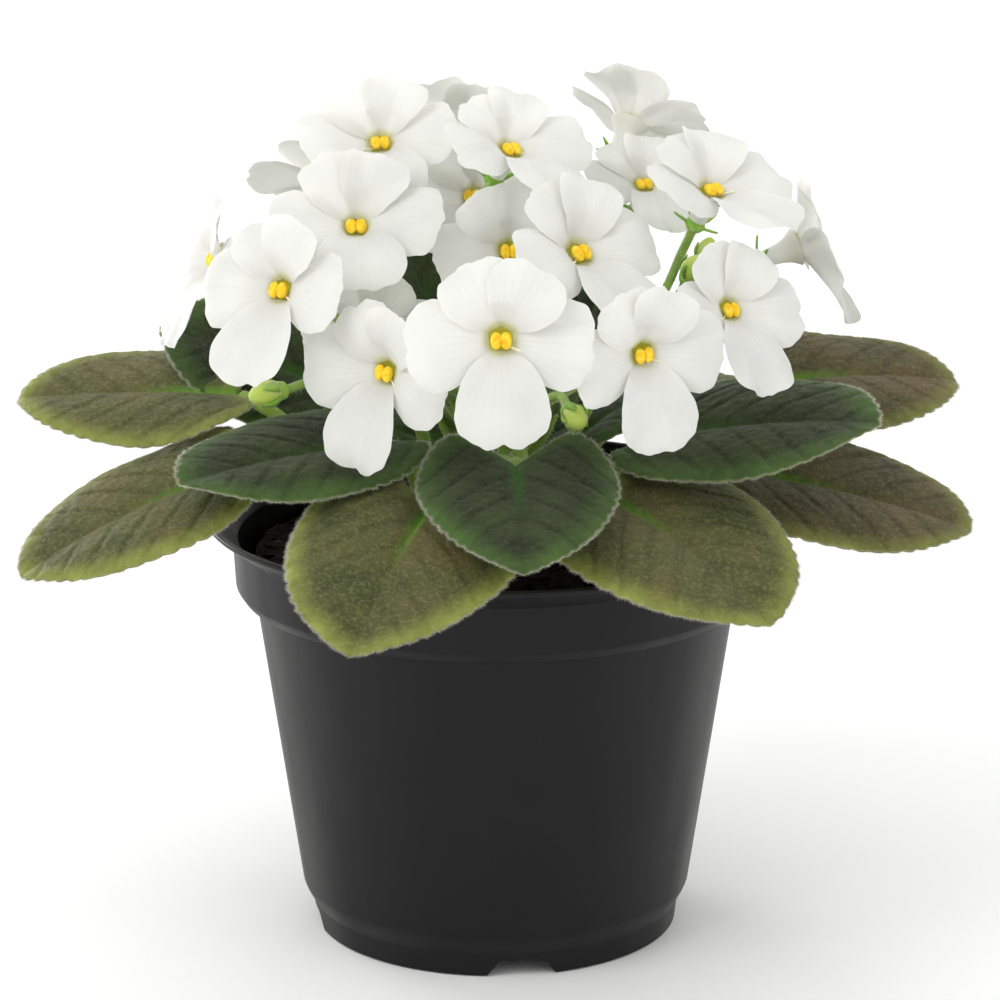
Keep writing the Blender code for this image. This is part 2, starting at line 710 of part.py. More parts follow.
def notch_cutter(compass, group):
    """A block, wider at its foot, that cuts one notch out of the foot ring."""
    work = bmesh.new()
    bmesh.ops.create_cube(work, size=1)
    for vert in work.verts:
        low = vert.co.z < 0
        wide = NOTCH_FOOT_WIDTH + 2.7 * MM if low else NOTCH_TOP_WIDTH
        height = -2 * MM if low else NOTCH_HEIGHT
        vert.co = (vert.co.x * wide, -FOOT_RADIUS + vert.co.y * 12 * MM, height)
    mesh = bpy.data.meshes.new("notch cutter")
    work.to_mesh(mesh)
    work.free()
    block = add(mesh, "notch cutter", group, smooth=False)
    block.rotation_euler = (0, 0, math.radians(compass))
    block.hide_render = True
    block.display_type = "WIRE"


def drain_cutter(compass, group):
    """A short round plug that opens one drain hole in the pot's floor."""
    work = bmesh.new()
    ends = dict(radius1=DRAIN_RADIUS, radius2=DRAIN_RADIUS, depth=12 * MM)
    bmesh.ops.create_cone(work, cap_ends=True, segments=10, **ends)
    mesh = bpy.data.meshes.new("drain cutter")
    work.to_mesh(mesh)
    work.free()
    plug = add(mesh, "drain cutter", group, smooth=False)
    plug.location = out_from_axis(compass, DRAIN_RING, FLOOR_TOP)
    plug.hide_render = True
    plug.display_type = "WIRE"


def build_soil(group, finish):
    """The soil fills the pot, with a crumbly mounded top and a plain hole for the crown."""
    hole = CROWN_RADIUS + GAP
    rim = BODY_TOP_RADIUS - WALL - GAP - 0.4 * MM
    foot = BODY_FOOT_RADIUS - WALL - GAP - 0.4 * MM
    profile = [
        (hole, SOIL_EDGE_HEIGHT + SOIL_MOUND),
        (17 * MM, SOIL_EDGE_HEIGHT + 0.88 * SOIL_MOUND),
        (29 * MM, SOIL_EDGE_HEIGHT + 0.6 * SOIL_MOUND),
        (40 * MM, SOIL_EDGE_HEIGHT + 0.25 * SOIL_MOUND),
        (rim + 1.6 * MM, SOIL_EDGE_HEIGHT),
        (rim + 1.4 * MM, BAND_BOTTOM + 4.5 * MM),
        (rim, BAND_BOTTOM - 0.5 * MM),
        (foot, 9.5 * MM),
        (foot - 2.5 * MM, FLOOR_TOP + GAP),
        (0, FLOOR_TOP + GAP),
    ]
    floor_of_hole = [(0, CROWN_FOOT - GAP), (hole, CROWN_FOOT - GAP)]
    soil = turned(floor_of_hole + profile, SOIL_STEPS, group, "soil")
    mesh = baked(soil, "soil")
    for vert in mesh.vertices:
        reach = math.hypot(vert.co.x, vert.co.y)
        if vert.co.z > SOIL_EDGE_HEIGHT - 1 * MM and reach > hole + 1 * MM:
            vert.co.z += SOIL_GRAIN * noise.noise(vert.co / (7 * MM))
    add(mesh, "soil", group, finish)


def build_crown(group, finish):
    """The crown's stem, with the youngest leaves of the rosette fused to its top."""
    profile = [
        (0, CROWN_TOP),
        (0.7 * CROWN_RADIUS, CROWN_TOP - 0.3 * MM),
        (CROWN_RADIUS, CROWN_TOP - 2 * MM),
        (CROWN_RADIUS, CROWN_FOOT + 3 * MM),
        (0.6 * CROWN_RADIUS, CROWN_FOOT),
        (0, CROWN_FOOT),
    ]
    stem = turned(profile, 14, group)
    pieces = [add(baked(stem, "stem"), "stem", group)]
    length, width = YOUNG_SIZE
    for i, compass in enumerate(YOUNG_COMPASS):
        base = out_from_axis(compass, 12 * MM, CROWN_TOP + 8 * MM)
        bend = leaf_bend(length, width, YOUNG_SLOPE, i)
        middle = [(0, 0.3 * length), (0, 0.66 * length)]
        blade = sheet(leaf_outline(length, width, 12, 0), middle, bend, LEAF_THICK, group)
        blade.matrix_world = blade_frame(base, compass, 0)
        root = out_from_axis(compass, 3.5 * MM, CROWN_TOP - 3 * MM)
        rise = out_from_axis(compass, 7 * MM, CROWN_TOP + 2 * MM)
        end = blade.matrix_world @ bend(0, 0.3 * length)
        stem_path = smooth_path([root, rise, base, end], 4)
        pieces += [blade, tube(stem_path, [1.5 * MM, 1.4 * MM, 1.2 * MM, 0.6 * MM], 4, group)]
    fused("crown", pieces, group, finish)


def main():
    clear_scene()
    plant = collection("potted african violet")
    pot_black = material("pot_plastic", (0.028, 0.028, 0.03), 0.45)
    peat = material("soil", (0.03, 0.022, 0.016), 0.95)
    stem_green = material("stem_green", (0.23, 0.36, 0.07), 0.6)
    leaf_dark = material("leaf_dark", (0.045, 0.095, 0.03), 0.6)
    leaf_olive = material("leaf_olive", (0.14, 0.14, 0.045), 0.6)
    white = material("petal_white", (0.88, 0.88, 0.86), 0.5)
    yellow = material("anther_yellow", (0.9, 0.62, 0.03), 0.5)
    build_pot(plant, pot_black)
    build_soil(plant, peat)
    build_crown(plant, stem_green)
    finishes = {name: leaf_dark if "inner" in name else leaf_olive for name in LEAVES}
    build_leaves(plant, finishes)
    build_stalks(plant, stem_green)
    build_flowers(plant, white, yellow)


main()
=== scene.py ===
import json
import math
import random

import bmesh
import bpy
from mathutils import Matrix, Vector, noise
from mathutils.geometry import delaunay_2d_cdt

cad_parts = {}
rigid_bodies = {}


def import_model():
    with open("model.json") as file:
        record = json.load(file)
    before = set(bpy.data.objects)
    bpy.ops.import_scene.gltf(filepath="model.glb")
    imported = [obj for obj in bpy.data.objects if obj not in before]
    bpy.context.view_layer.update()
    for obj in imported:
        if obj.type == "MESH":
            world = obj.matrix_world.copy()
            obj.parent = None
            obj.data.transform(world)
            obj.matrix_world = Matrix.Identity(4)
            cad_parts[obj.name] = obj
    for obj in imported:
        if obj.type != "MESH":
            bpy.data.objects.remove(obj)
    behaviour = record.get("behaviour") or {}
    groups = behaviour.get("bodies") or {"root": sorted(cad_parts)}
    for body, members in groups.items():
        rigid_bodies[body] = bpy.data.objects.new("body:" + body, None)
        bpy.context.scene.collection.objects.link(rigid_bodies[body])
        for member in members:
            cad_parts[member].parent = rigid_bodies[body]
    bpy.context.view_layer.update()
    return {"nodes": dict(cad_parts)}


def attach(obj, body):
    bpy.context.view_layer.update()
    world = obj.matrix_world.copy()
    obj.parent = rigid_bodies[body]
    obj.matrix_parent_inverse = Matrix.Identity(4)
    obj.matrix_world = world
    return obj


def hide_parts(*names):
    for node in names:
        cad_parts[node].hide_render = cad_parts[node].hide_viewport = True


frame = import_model()
mm = 0.001  # everything below is written in millimetres and turned to metres here
print("frame loaded:", len(frame["nodes"]), "nodes")


def hexToLinear(text):
    out = []
    for k in (1, 3, 5):
        share = int(text[k:k + 2], 16) / 255
        out.append(share / 12.92 if share <= 0.04045 else ((share + 0.055) / 1.055) ** 2.4)
    return (*out, 1.0)


# a pattern's scale from its real size in millimetres, to the nearest whole number
def scaleOf(size):
    return round(1 / (size * mm))


# sets a node's sockets, each to a value, to another node's first output, or to the output given
def feed(tree, node, sockets):
    for key, value in sockets.items():
        if isinstance(value, bpy.types.Node):
            value = value.outputs[0]
        if isinstance(value, bpy.types.NodeSocket):
            tree.links.new(value, node.inputs[key])
        else:
            node.inputs[key].default_value = value


# adds one node, with its settings as keywords; "stops" fills a colour ramp
def addNode(tree, kind, sockets=None, stops=None, **settings):
    node = tree.nodes.new("ShaderNode" + kind)
    for key, value in settings.items():
        setattr(node, key, value)
    if stops:
        elements = node.color_ramp.elements
        while len(elements) < len(stops):
            elements.new(0.5)
        for element, (place, colour) in zip(elements, stops):
            element.position = place
            element.color = hexToLinear(colour)
    feed(tree, node, sockets or {})
    return node


def newMaterial(name, **sockets):
    made = bpy.data.materials.new(name)
    made.use_nodes = True
    shader = made.node_tree.nodes["Principled BSDF"]
    feed(made.node_tree, shader, {key.replace("_", " "): value for key, value in sockets.items()})
    return made, made.node_tree, shader


# a mottled colour from noise of a real size in millimetres, stretched where the material is
def mottle(tree, size, stops, stretch=None, **sockets):
    where = addNode(tree, "TexCoord").outputs["Object"]
    spread = addNode(tree, "Mapping", {"Vector": where, "Scale": stretch}) if stretch else where
    lumps = addNode(tree, "TexNoise", {"Vector": spread, "Scale": scaleOf(size), **sockets})
    return where, lumps, addNode(tree, "ValToRGB", {"Fac": lumps}, stops=stops)


# light that comes through thin tissue, mixed with the shader
def letThrough(tree, shader, share, **sockets):
    through = addNode(tree, "BsdfTranslucent", sockets)
    both = addNode(tree, "MixShader", {0: share, 1: shader, 2: through})
    feed(tree, tree.nodes["Material Output"], {"Surface": both})


def addObject(name, data):
    made = bpy.data.objects.new(name, data)
    bpy.context.scene.collection.objects.link(made)
    return made


def outFromAxis(compass, reach, height):
    turn = math.radians(compass)
    return Vector((reach * math.sin(turn), -reach * math.cos(turn), height)) * mm


def smoothPath(points, count):
    ends = [2 * points[0] - points[1], *points, 2 * points[-1] - points[-2]]
    spans = len(points) - 1
    path = []
    for i in range(count):
        place = i / (count - 1) * spans
        k = min(int(place), spans - 1)
        t = place - k
        a, b, c, d = ends[k:k + 4]
        square = (2 * a - 5 * b + 4 * c - d) * t**2
        cube = (3 * b - a - 3 * c + d) * t**3
        path.append((2 * b + (c - a) * t + square + cube) / 2)
    return path


# gathers loose shapes into one mesh, each face with its material number and its place on two maps
class Batch:
    def __init__(self):
        self.points, self.faces, self.slots, self.maps = [], [], [], []

    def add(self, points, faces, slot, where=None, rim=None):
        start = len(self.points)
        self.points += points
        self.faces += [tuple(start + i for i in face) for face in faces]
        self.slots += [slot] * len(faces)
        self.maps += list(zip(where or [(0, 0)] * len(points), rim or [(0, 0)] * len(points)))
        return start

    def piece(self, name, materials, node, sharp=None):
        mesh = bpy.data.meshes.new(name)
        mesh.from_pydata(self.points, [], self.faces)
        for k, layerName in enumerate(("bladeMap", "rimMap")):
            layer = mesh.uv_layers.new(name=layerName)
            corners = []
            for loop in mesh.loops:
                corners += self.maps[loop.vertex_index][k]
            layer.data.foreach_set("uv", corners)
        mesh.polygons.foreach_set("material_index", self.slots)
        for material in materials:
            mesh.materials.append(material)
        mesh.shade_smooth()
        if sharp:
            mesh.set_sharp_from_angle(angle=math.radians(sharp))
        obj = addObject(name, mesh)
        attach(obj, "root")
        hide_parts(node)


# a profile of (radius, height) pairs in millimetres turned about Z, with rings joined at the axis
def lathe(profile, steps, shape=None):
    points, faces, rings = [], [], []
    for radius, height in profile:
        radius, height = radius * mm, height * mm
        if radius < 1e-4:
            rings.append([len(points)] * steps)
            points.append(Vector((0, 0, height)))
            continue
        rings.append(list(range(len(points), len(points) + steps)))
        for i in range(steps):
            turn = 2 * math.pi * i / steps
            points.append(Vector((radius * math.cos(turn), radius * math.sin(turn), height)))
    for low, high in zip(rings, rings[1:]):
        for i in range(steps):
            j = (i + 1) % steps
            corners = []
            for corner in (low[i], low[j], high[j], high[i]):
                if corner not in corners:
                    corners.append(corner)
            if len(corners) > 2:
                faces.append(corners[::-1])
    if shape:
        points = [shape(p) for p in points]
    return points, faces


# a round stem along a path, closed at both ends, with the frame carried along it so it doesn't twist
def stem(path, radii, sides):
    points, faces = [], []
    side = (path[1] - path[0]).orthogonal().normalized()
    for i, place in enumerate(path):
        ahead = (path[min(i + 1, len(path) - 1)] - path[max(i - 1, 0)]).normalized()
        side = (side - ahead * side.dot(ahead)).normalized()
        other = ahead.cross(side)
        for k in range(sides):
            turn = 2 * math.pi * k / sides
            points.append(place + (side * math.cos(turn) + other * math.sin(turn)) * radii[i])
    for i in range(len(path) - 1):
        for k in range(sides):
            j = (k + 1) % sides
            faces.append((i * sides + k, i * sides + j, (i + 1) * sides + j, (i + 1) * sides + k))
    for end, turnRound in ((0, True), (len(path) - 1, False)):
        ring = [end * sides + k for k in range(sides)]
        faces.append(tuple(ring[::-1] if turnRound else ring))
    return points, faces


# one hair is a thin three-sided spike whose open foot is sunk in the skin
def hairSpike(foot, way, length, radius, bend):
    side = way.orthogonal().normalized()
    other = way.cross(side)
    ring = []
    for k in range(3):
        turn = 2 * math.pi * k / 3
        ring.append(foot - way * radius + (side * math.cos(turn) + other * math.sin(turn)) * radius)
    return ring + [foot + way * length + bend]


def addHairs(batch, hairs, slot):
    points, faces = [], []
    for spike in hairs:
        n = len(points)
        points += spike
        faces += [(n, n + 1, n + 3), (n + 1, n + 2, n + 3), (n + 2, n, n + 3)]
    batch.add(points, faces, slot)


def insideOutline(outline, centre):
    polar = []
    for x, y in outline:
        polar.append((math.atan2(x - centre[0], y - centre[1]), math.hypot(x - centre[0], y - centre[1])))
    polar.sort()
    angles = [p[0] for p in polar]

    def share(x, y):
        angle = math.atan2(x - centre[0], y - centre[1])
        low, high = 0, len(angles)
        while low < high:
            half = (low + high) // 2
            if angles[half] < angle:
                low = half + 1
            else:
                high = half
        a, b = polar[low - 1], polar[low % len(polar)]
        span = (b[0] - a[0]) % (2 * math.pi)
        t = ((angle - a[0]) % (2 * math.pi)) / span if span > 1e-9 else 0
        rim = a[1] + (b[1] - a[1]) * min(1, t)
        return math.hypot(x - centre[0], y - centre[1]) / rim, rim

    return share


# a thin blade of tissue: flat outline filled with an even triangle grid, bent to shape, its two skins
# meeting at a fine edge. surface(x, y) gives the middle, relief(x, y, edge) lifts the top and bottom skins.
def tissueSheet(outline, centre, spacing, surface, thickness, relief, edgeWidth):
    share = insideOutline(outline, centre)
    xs = [p[0] for p in outline]
    ys = [p[1] for p in outline]
    inner = []
    row = 0
    y = min(ys)
    while y < max(ys):
        x = min(xs) + (row % 2) * spacing / 2
        while x < max(xs):
            part, rim = share(x, y)
            if (1 - part) * rim > 0.62 * spacing:
                jitter = 0.12 * spacing
                inner.append((x + jitter * math.sin(91 * x + 37 * y), y + jitter * math.cos(53 * x - 71 * y)))
            x += spacing
        y += spacing * 0.866
        row += 1
    flat = [Vector(p) for p in outline] + [Vector(p) for p in inner]
    spots, _, faces, _, _, _ = delaunay_2d_cdt(flat, [], [list(range(len(outline)))], 1, 1e-6)
    middle = [surface(p.x, p.y) for p in spots]
    mesh = bpy.data.meshes.new("work")
    mesh.from_pydata(middle, [], faces)
    normals = [v.normal.copy() for v in mesh.vertices]
    bpy.data.meshes.remove(mesh)
    rimCount = len(outline)
    edges = []
    for i, p in enumerate(spots):
        part, rim = share(p.x, p.y)
        edges.append(0 if i < rimCount else max(0, (1 - part) * rim))
    top, bottom = [], []
    for i, (place, up, p) in enumerate(zip(middle, normals, spots)):
        swell = math.sqrt(min(1, edges[i] / edgeWidth))
        rise, sink = relief(p.x, p.y, edges[i])
        top.append(place + up * (thickness / 2 * swell + rise * min(1, swell + 0.15)))
        bottom.append(place - up * (thickness / 2 * swell + sink * swell))
    # the rim's points are shared by both skins
    number = list(range(rimCount)) + list(range(len(top), len(top) + len(spots) - rimCount))
    points = top + bottom[rimCount:]
    topFaces = [tuple(f) for f in faces]
    bottomFaces = [tuple(number[i] for i in reversed(f)) for f in faces]
    return {
        "points": points, "top": topFaces, "bottom": bottomFaces, "normals": normals, "rimCount": rimCount,
        "spots": list(spots) + list(spots)[rimCount:], "edges": edges + edges[rimCount:],
    }


view = {
    "place": (0.92, -900, 343.4),  # the eye, in millimetres
    "down": 15.7,  # degrees below level
    "lens": 162.6, "sensor": 36,
    "floor": "#fbfbfa", "floorShade": "#f8f8f7",
    "sky": 0.9, "key": 8.5, "fill": 2.5, "back": 3.0, "edge": 9.0,  # strengths, in watts but for the sky
}
cameraData = bpy.data.cameras.new("camera")
cameraData.sensor_width = view["sensor"]
cameraData.lens = view["lens"]
cameraData.clip_start = 0.05
cameraData.clip_end = 20
camera = addObject("camera", cameraData)
camera.location = Vector(view["place"]) * mm
camera.rotation_euler = (math.radians(90 - view["down"]), 0, 0)
bpy.context.scene.camera = camera

# Matt white card, uncoated: an even pale ground with a faint mottle.
floorMaterial, tree, shader = newMaterial("matt white card", Roughness=0.9)
grain = addNode(tree, "TexNoise", {"Scale": 60.0, "Detail": 3.0})  # over the whole card, so coarse and faint
tone = addNode(tree, "ValToRGB", {"Fac": grain}, stops=[(0.3, view["floorShade"]), (0.7, view["floor"])])
feed(tree, shader, {"Base Color": tone})
floorMesh = bpy.data.meshes.new("floor")
floorMesh.from_pydata([(-3, -3, 0), (3, -3, 0), (3, 3, 0), (-3, 3, 0)], [], [(0, 1, 2, 3)])
floorMesh.materials.append(floorMaterial)
floor = addObject("floor", floorMesh)
floor.location.z = -0.0002  # just under the pot, so the two don't flicker

world = bpy.data.worlds.new("studio")
bpy.context.scene.world = world
world.use_nodes = True
feed(world.node_tree, world.node_tree.nodes["Background"], {"Color": (1, 1, 1, 1), "Strength": view["sky"]})


def softbox(name, place, size, power):
    data = bpy.data.lights.new(name, "AREA")
    data.shape = "SQUARE"
    data.size = size
    data.energy = power
    lamp = addObject(name, data)
    lamp.location = place
    lamp.rotation_euler = (Vector((0, 0, 0.1)) - Vector(place)).to_track_quat("-Z", "Y").to_euler()


softbox("key softbox", (-0.9, -0.8, 1.2), 0.9, view["key"])
softbox("fill softbox", (1.3, -0.7, 0.6), 1.0, view["fill"])
softbox("back softbox", (0.2, 1.1, 1.3), 1.0, view["back"])
softbox("edge softbox", (-0.85, 1.0, 0.25), 0.6, view["edge"])  # the light line down the pot's left
bpy.context.scene.view_settings.view_transform = "Standard"
bpy.context.scene.view_settings.look = "None"
print("camera, floor and light ready")


# Black polypropylene, injection moulded: satin, with faint flow streaks down the wall and a fine grain
# that spreads the highlight.
potBlack, tree, shader = newMaterial("injection moulded polypropylene", IOR=1.49, Specular_IOR_Level=0.22)
where, _, tone = mottle(tree, 45, [(0.3, "#0d0d0e"), (0.55, "#111112"), (0.8, "#171718")], Detail=5.0)
long = addNode(tree, "Mapping", {"Vector": where, "Scale": (1.0, 1.0, 0.12)})
flow = addNode(tree, "TexNoise", {"Vector": long, "Scale": scaleOf(11.1), "Detail": 4.0})
rough = addNode(tree, "MapRange", {"Value": flow, "From Min": 0.3, "From Max": 0.7,
                                    "To Min": 0.36, "To Max": 0.5})
grain = addNode(tree, "TexNoise", {"Vector": where, "Scale": scaleOf(0.5556), "Detail": 2.0})
low = addNode(tree, "Bump", {"Height": flow, "Strength": 0.12, "Distance": 0.0004})
fine = addNode(tree, "Bump", {"Height": grain, "Strength": 0.08, "Distance": 0.0002, "Normal": low})
feed(tree, shader, {"Base Color": tone, "Roughness": rough, "Normal": fine})

# Damp peat, milled and sieved: dark brown and matt, with brown fibres and crumbs; its colours are darkened
# further to near black as painted shade of the leaves over the pot.
peat, tree, shader = newMaterial("damp peat with painted shade", Roughness=0.95, Specular_IOR_Level=0.2)
peatBrownsAndShade = [(0.3, "#0a0806"), (0.5, "#150f0a"), (0.68, "#261c13"), (0.8, "#3a2c1f")]
where, lumps, tone = mottle(tree, 2.38, peatBrownsAndShade, Detail=8.0, Roughness=0.65)
bump = addNode(tree, "Bump", {"Height": lumps, "Strength": 0.8, "Distance": 0.0012})
feed(tree, shader, {"Base Color": tone, "Normal": bump})

# Composted bark: mid brown broken pieces, drier and paler than the peat round them.
bark, tree, shader = newMaterial("composted bark", Roughness=0.9)
barkBrowns = [(0.3, "#1c120b"), (0.55, "#38271a"), (0.75, "#5c4631")]
where, lumps, tone = mottle(tree, 3.33, barkBrowns, stretch=(1.0, 3.0, 1.0), Detail=6.0)
bump = addNode(tree, "Bump", {"Height": lumps, "Strength": 0.7, "Distance": 0.0008})
feed(tree, shader, {"Base Color": tone, "Normal": bump})

bladeSpan = 60  # bladeMap is millimetres / 60 on a blade, and rimMap.x the distance from the rim / 10 mm
veinGap = 8.57  # millimetres from one side vein to the next


# the distance to the midrib, and a wave with a crest on each side vein
def sideVeins(tree, place):
    across = addNode(tree, "Math", {0: place.outputs["X"], 1: 0.5}, operation="SUBTRACT")
    away = addNode(tree, "Math", {0: across}, operation="ABSOLUTE")
    bend = addNode(tree, "Math", {0: away, 1: -0.72, 2: -0.9}, operation="MULTIPLY_ADD")  # they curve forward
    slant = addNode(tree, "Math", {0: away, 1: bend, 2: place.outputs["Y"]}, operation="MULTIPLY_ADD")
    rows = float(round(2 * math.pi * bladeSpan / veinGap))
    turns = addNode(tree, "Math", {0: slant, 1: rows}, operation="MULTIPLY")
    return away, addNode(tree, "Math", {0: turns}, operation="COSINE")


def onBlade(tree, mapName):
    return addNode(tree, "SeparateXYZ", {"Vector": addNode(tree, "UVMap", uv_map=mapName)})


# Living leaf skin, grown with short hairs: a soft sheen instead of gloss, pillows between the veins with
# painted shade darkening the side veins, a bright midrib at the foot of the blade and a paler rim.
def hairyLeaf(name, colours, sheen):
    made, tree, shader = newMaterial(
        name, IOR=1.42, Roughness=0.62, Specular_IOR_Level=0.3,
        Sheen_Weight=sheen, Sheen_Roughness=0.45, Sheen_Tint=hexToLinear(colours["sheen"]))
    place, edge = onBlade(tree, "bladeMap"), onBlade(tree, "rimMap").outputs["X"]
    # broad bronze patches, 15 mm across
    patches = [(0.32, colours["deep"]), (0.5, colours["middle"]), (0.66, colours["bronze"])]
    where, _, ground = mottle(tree, 15.4, patches, Detail=3.0)
    away, wave = sideVeins(tree, place)
    # painted shade: the side veins are darkened towards the vein colour, as if their sunken grooves lay in
    # shadow
    paintedVeinShade = addNode(tree, "MapRange", {"Value": wave, "From Min": 0.1, "From Max": 1.0, "To Min": 0.0,
                                        "To Max": colours["veinShadeShare"]}, interpolation_type="SMOOTHSTEP")
    # the soft green light of the rim, broken every 6 mm or so
    nearRim = addNode(tree, "MapRange", {"Value": edge, "From Min": 0.0, "From Max": colours["rimWidth"] / 10,
                                         "To Min": 1.0, "To Max": 0.0}, interpolation_type="SMOOTHSTEP")
    broken = addNode(tree, "TexNoise", {"Vector": where, "Scale": scaleOf(6.25), "Detail": 2.0})
    rimShare = addNode(tree, "Math", {0: nearRim, 1: broken}, operation="MULTIPLY")
    rimShare = addNode(tree, "Math", {0: rimShare, 1: colours["rimShare"]},
                       operation="MULTIPLY", use_clamp=True)
    # the midrib, brightest at the foot of the blade
    ribWidth = colours["ribWidth"] / bladeSpan
    narrow = addNode(tree, "MapRange", {"Value": away, "From Min": 0.004, "From Max": ribWidth,
                                        "To Min": 1.0, "To Max": 0.0}, interpolation_type="SMOOTHSTEP")
    foot = addNode(tree, "MapRange", {"Value": place.outputs["Y"], "From Min": 0.12, "From Max": 0.62,
                                      "To Min": 1.0, "To Max": 0.0}, interpolation_type="SMOOTHSTEP")
    ribShare = addNode(tree, "Math", {0: narrow, 1: foot}, operation="MULTIPLY")
    # the very edge is pale with hairs
    last = addNode(tree, "MapRange", {"Value": edge, "From Min": 0.0, "From Max": 0.05,
                                       "To Min": 0.6, "To Max": 0.0})
    # the nap of short hairs, drawn as pale grains 0.8 mm across because single hairs are too fine to show;
    # the grains are partly the hairs' own pale colour and partly a painted glint of light on them
    specks = addNode(tree, "TexNoise", {"Vector": where, "Scale": scaleOf(0.8), "Detail": 3.0})
    spot = addNode(tree, "MapRange", {"Value": specks, "From Min": 0.47, "From Max": 0.72,
                                      "To Min": 0.0, "To Max": colours["speckAndGlint"]})
    colour = ground.outputs["Color"]
    for share, over in ((paintedVeinShade, colours["vein"]), (rimShare, colours["rim"]), (ribShare, colours["rib"]),
                        (last, "#b3b890"), (spot, colours["hair"])):
        layer = addNode(tree, "Mix", {0: share, 6: colour, 7: hexToLinear(over)}, data_type="RGBA")
        colour = layer.outputs[2]
    quilt = addNode(tree, "TexVoronoi", {"Vector": where, "Scale": scaleOf(1.613)}, feature="SMOOTH_F1")
    low = addNode(tree, "Bump", {"Height": quilt, "Strength": 0.35, "Distance": 0.0006}, invert=True)
    nap = addNode(tree, "TexNoise", {"Vector": where, "Scale": scaleOf(0.3846), "Detail": 2.0})
    fine = addNode(tree, "Bump", {"Height": nap, "Strength": 0.45, "Distance": 0.0003, "Normal": low})
    feed(tree, shader, {"Base Color": colour, "Normal": fine})
    return made


# each leaf's vein colour and the share after it paint shade along the side veins, as if their grooves were in
# shadow
leafColours = {
    "olive": {
        "deep": "#3d4420", "middle": "#4e522a", "bronze": "#5a532e", "vein": "#35351a",
        "veinShadeShare": 0.32, "rim": "#8d9843", "rimWidth": 6.0, "rimShare": 1.3, "rib": "#6b9f2c",
        "ribWidth": 2.2, "hair": "#9c9c68", "speckAndGlint": 0.26, "sheen": "#dcdcc8",
    },
    "bronze": {
        "deep": "#3c391e", "middle": "#4d4728", "bronze": "#5b4c2d", "vein": "#302c17",
        "veinShadeShare": 0.32, "rim": "#7f853e", "rimWidth": 5.0, "rimShare": 1.1, "rib": "#65922a",
        "ribWidth": 2.2, "hair": "#938a63", "speckAndGlint": 0.25, "sheen": "#ddd8c8",
    },
    "dark": {
        "deep": "#1d230f", "middle": "#263015", "bronze": "#313f1c", "vein": "#12190a",
        "veinShadeShare": 0.42, "rim": "#49692a", "rimWidth": 7.0, "rimShare": 1.15, "rib": "#3b6a20",
        "ribWidth": 2.4, "hair": "#5c6b42", "speckAndGlint": 0.24, "sheen": "#d6d8c8",
    },
    "young": {
        "deep": "#42591f", "middle": "#516a28", "bronze": "#5f772f", "vein": "#3c521e",
        "veinShadeShare": 0.4, "rim": "#8da646", "rimWidth": 3.0, "rimShare": 1.3, "rib": "#93b83a",
        "ribWidth": 2.0, "hair": "#a6b07c", "speckAndGlint": 0.35, "sheen": "#dfe6cf",
    },
}
leafOlive = hairyLeaf("mature leaf skin", leafColours["olive"], 0.14)
leafBronze = hairyLeaf("bronze leaf skin", leafColours["bronze"], 0.14)
leafDark = hairyLeaf("dark leaf skin", leafColours["dark"], 0.13)
leafYoung = hairyLeaf("young leaf skin", leafColours["young"], 0.16)


# The lower skin is paler and flushed with red, with the veins standing out of it.
def leafLining(name, pale, flush, vein):
    made, tree, shader = newMaterial(name, IOR=1.42, Roughness=0.7, Sheen_Weight=0.3)
    where, _, ground = mottle(tree, 18.2, [(0.35, pale), (0.65, flush)], Detail=4.0)
    away, wave = sideVeins(tree, onBlade(tree, "bladeMap"))
    ridge = addNode(tree, "MapRange", {"Value": wave, "From Min": 0.3, "From Max": 1.0,
                                        "To Min": 0.0, "To Max": 0.3})
    tone = addNode(tree, "Mix", {0: ridge, 6: ground, 7: hexToLinear(vein)}, data_type="RGBA")
    nap = addNode(tree, "TexNoise", {"Vector": where, "Scale": scaleOf(0.4545), "Detail": 2.0})
    bump = addNode(tree, "Bump", {"Height": nap, "Strength": 0.4, "Distance": 0.0003})
    feed(tree, shader, {"Base Color": tone.outputs[2], "Normal": bump})
    return made


liningOlive = leafLining("mature leaf lining", "#6f7a49", "#765d46", "#8a9460")
liningDark = leafLining("dark leaf lining", "#5c7747", "#6d7049", "#7f9662")


# Fleshy green stems, grown with a nap of hairs: half glossy, yellower where the light passes through.
def greenStem(name, roughness, *stops):
    made, tree, shader = newMaterial(name, IOR=1.4, Roughness=roughness, Sheen_Weight=0.25)
    where, _, tone = mottle(tree, 7.7, stops, Detail=4.0)
    nap = addNode(tree, "TexNoise", {"Vector": where, "Scale": scaleOf(0.5263), "Detail": 2.0})
    bump = addNode(tree, "Bump", {"Height": nap, "Strength": 0.3, "Distance": 0.0002})
    feed(tree, shader, {"Base Color": tone, "Normal": bump})
    return made


petioleGreen = greenStem("leaf stalk skin", 0.55, (0.3, "#6a8a2c"), (0.5, "#82a038"), (0.7, "#99b34a"))
stalkGreen = greenStem("flower stalk skin", 0.5, (0.3, "#6f8f38"), (0.5, "#86a547"), (0.72, "#9fb95c"))
sepalGreen = greenStem("sepal skin", 0.5, (0.3, "#6fa02c"), (0.5, "#86b63a"), (0.7, "#a3c858"))
budGreen = greenStem("bud skin", 0.5, (0.3, "#a6bf48"), (0.5, "#b9cd5a"), (0.75, "#d2df8c"))

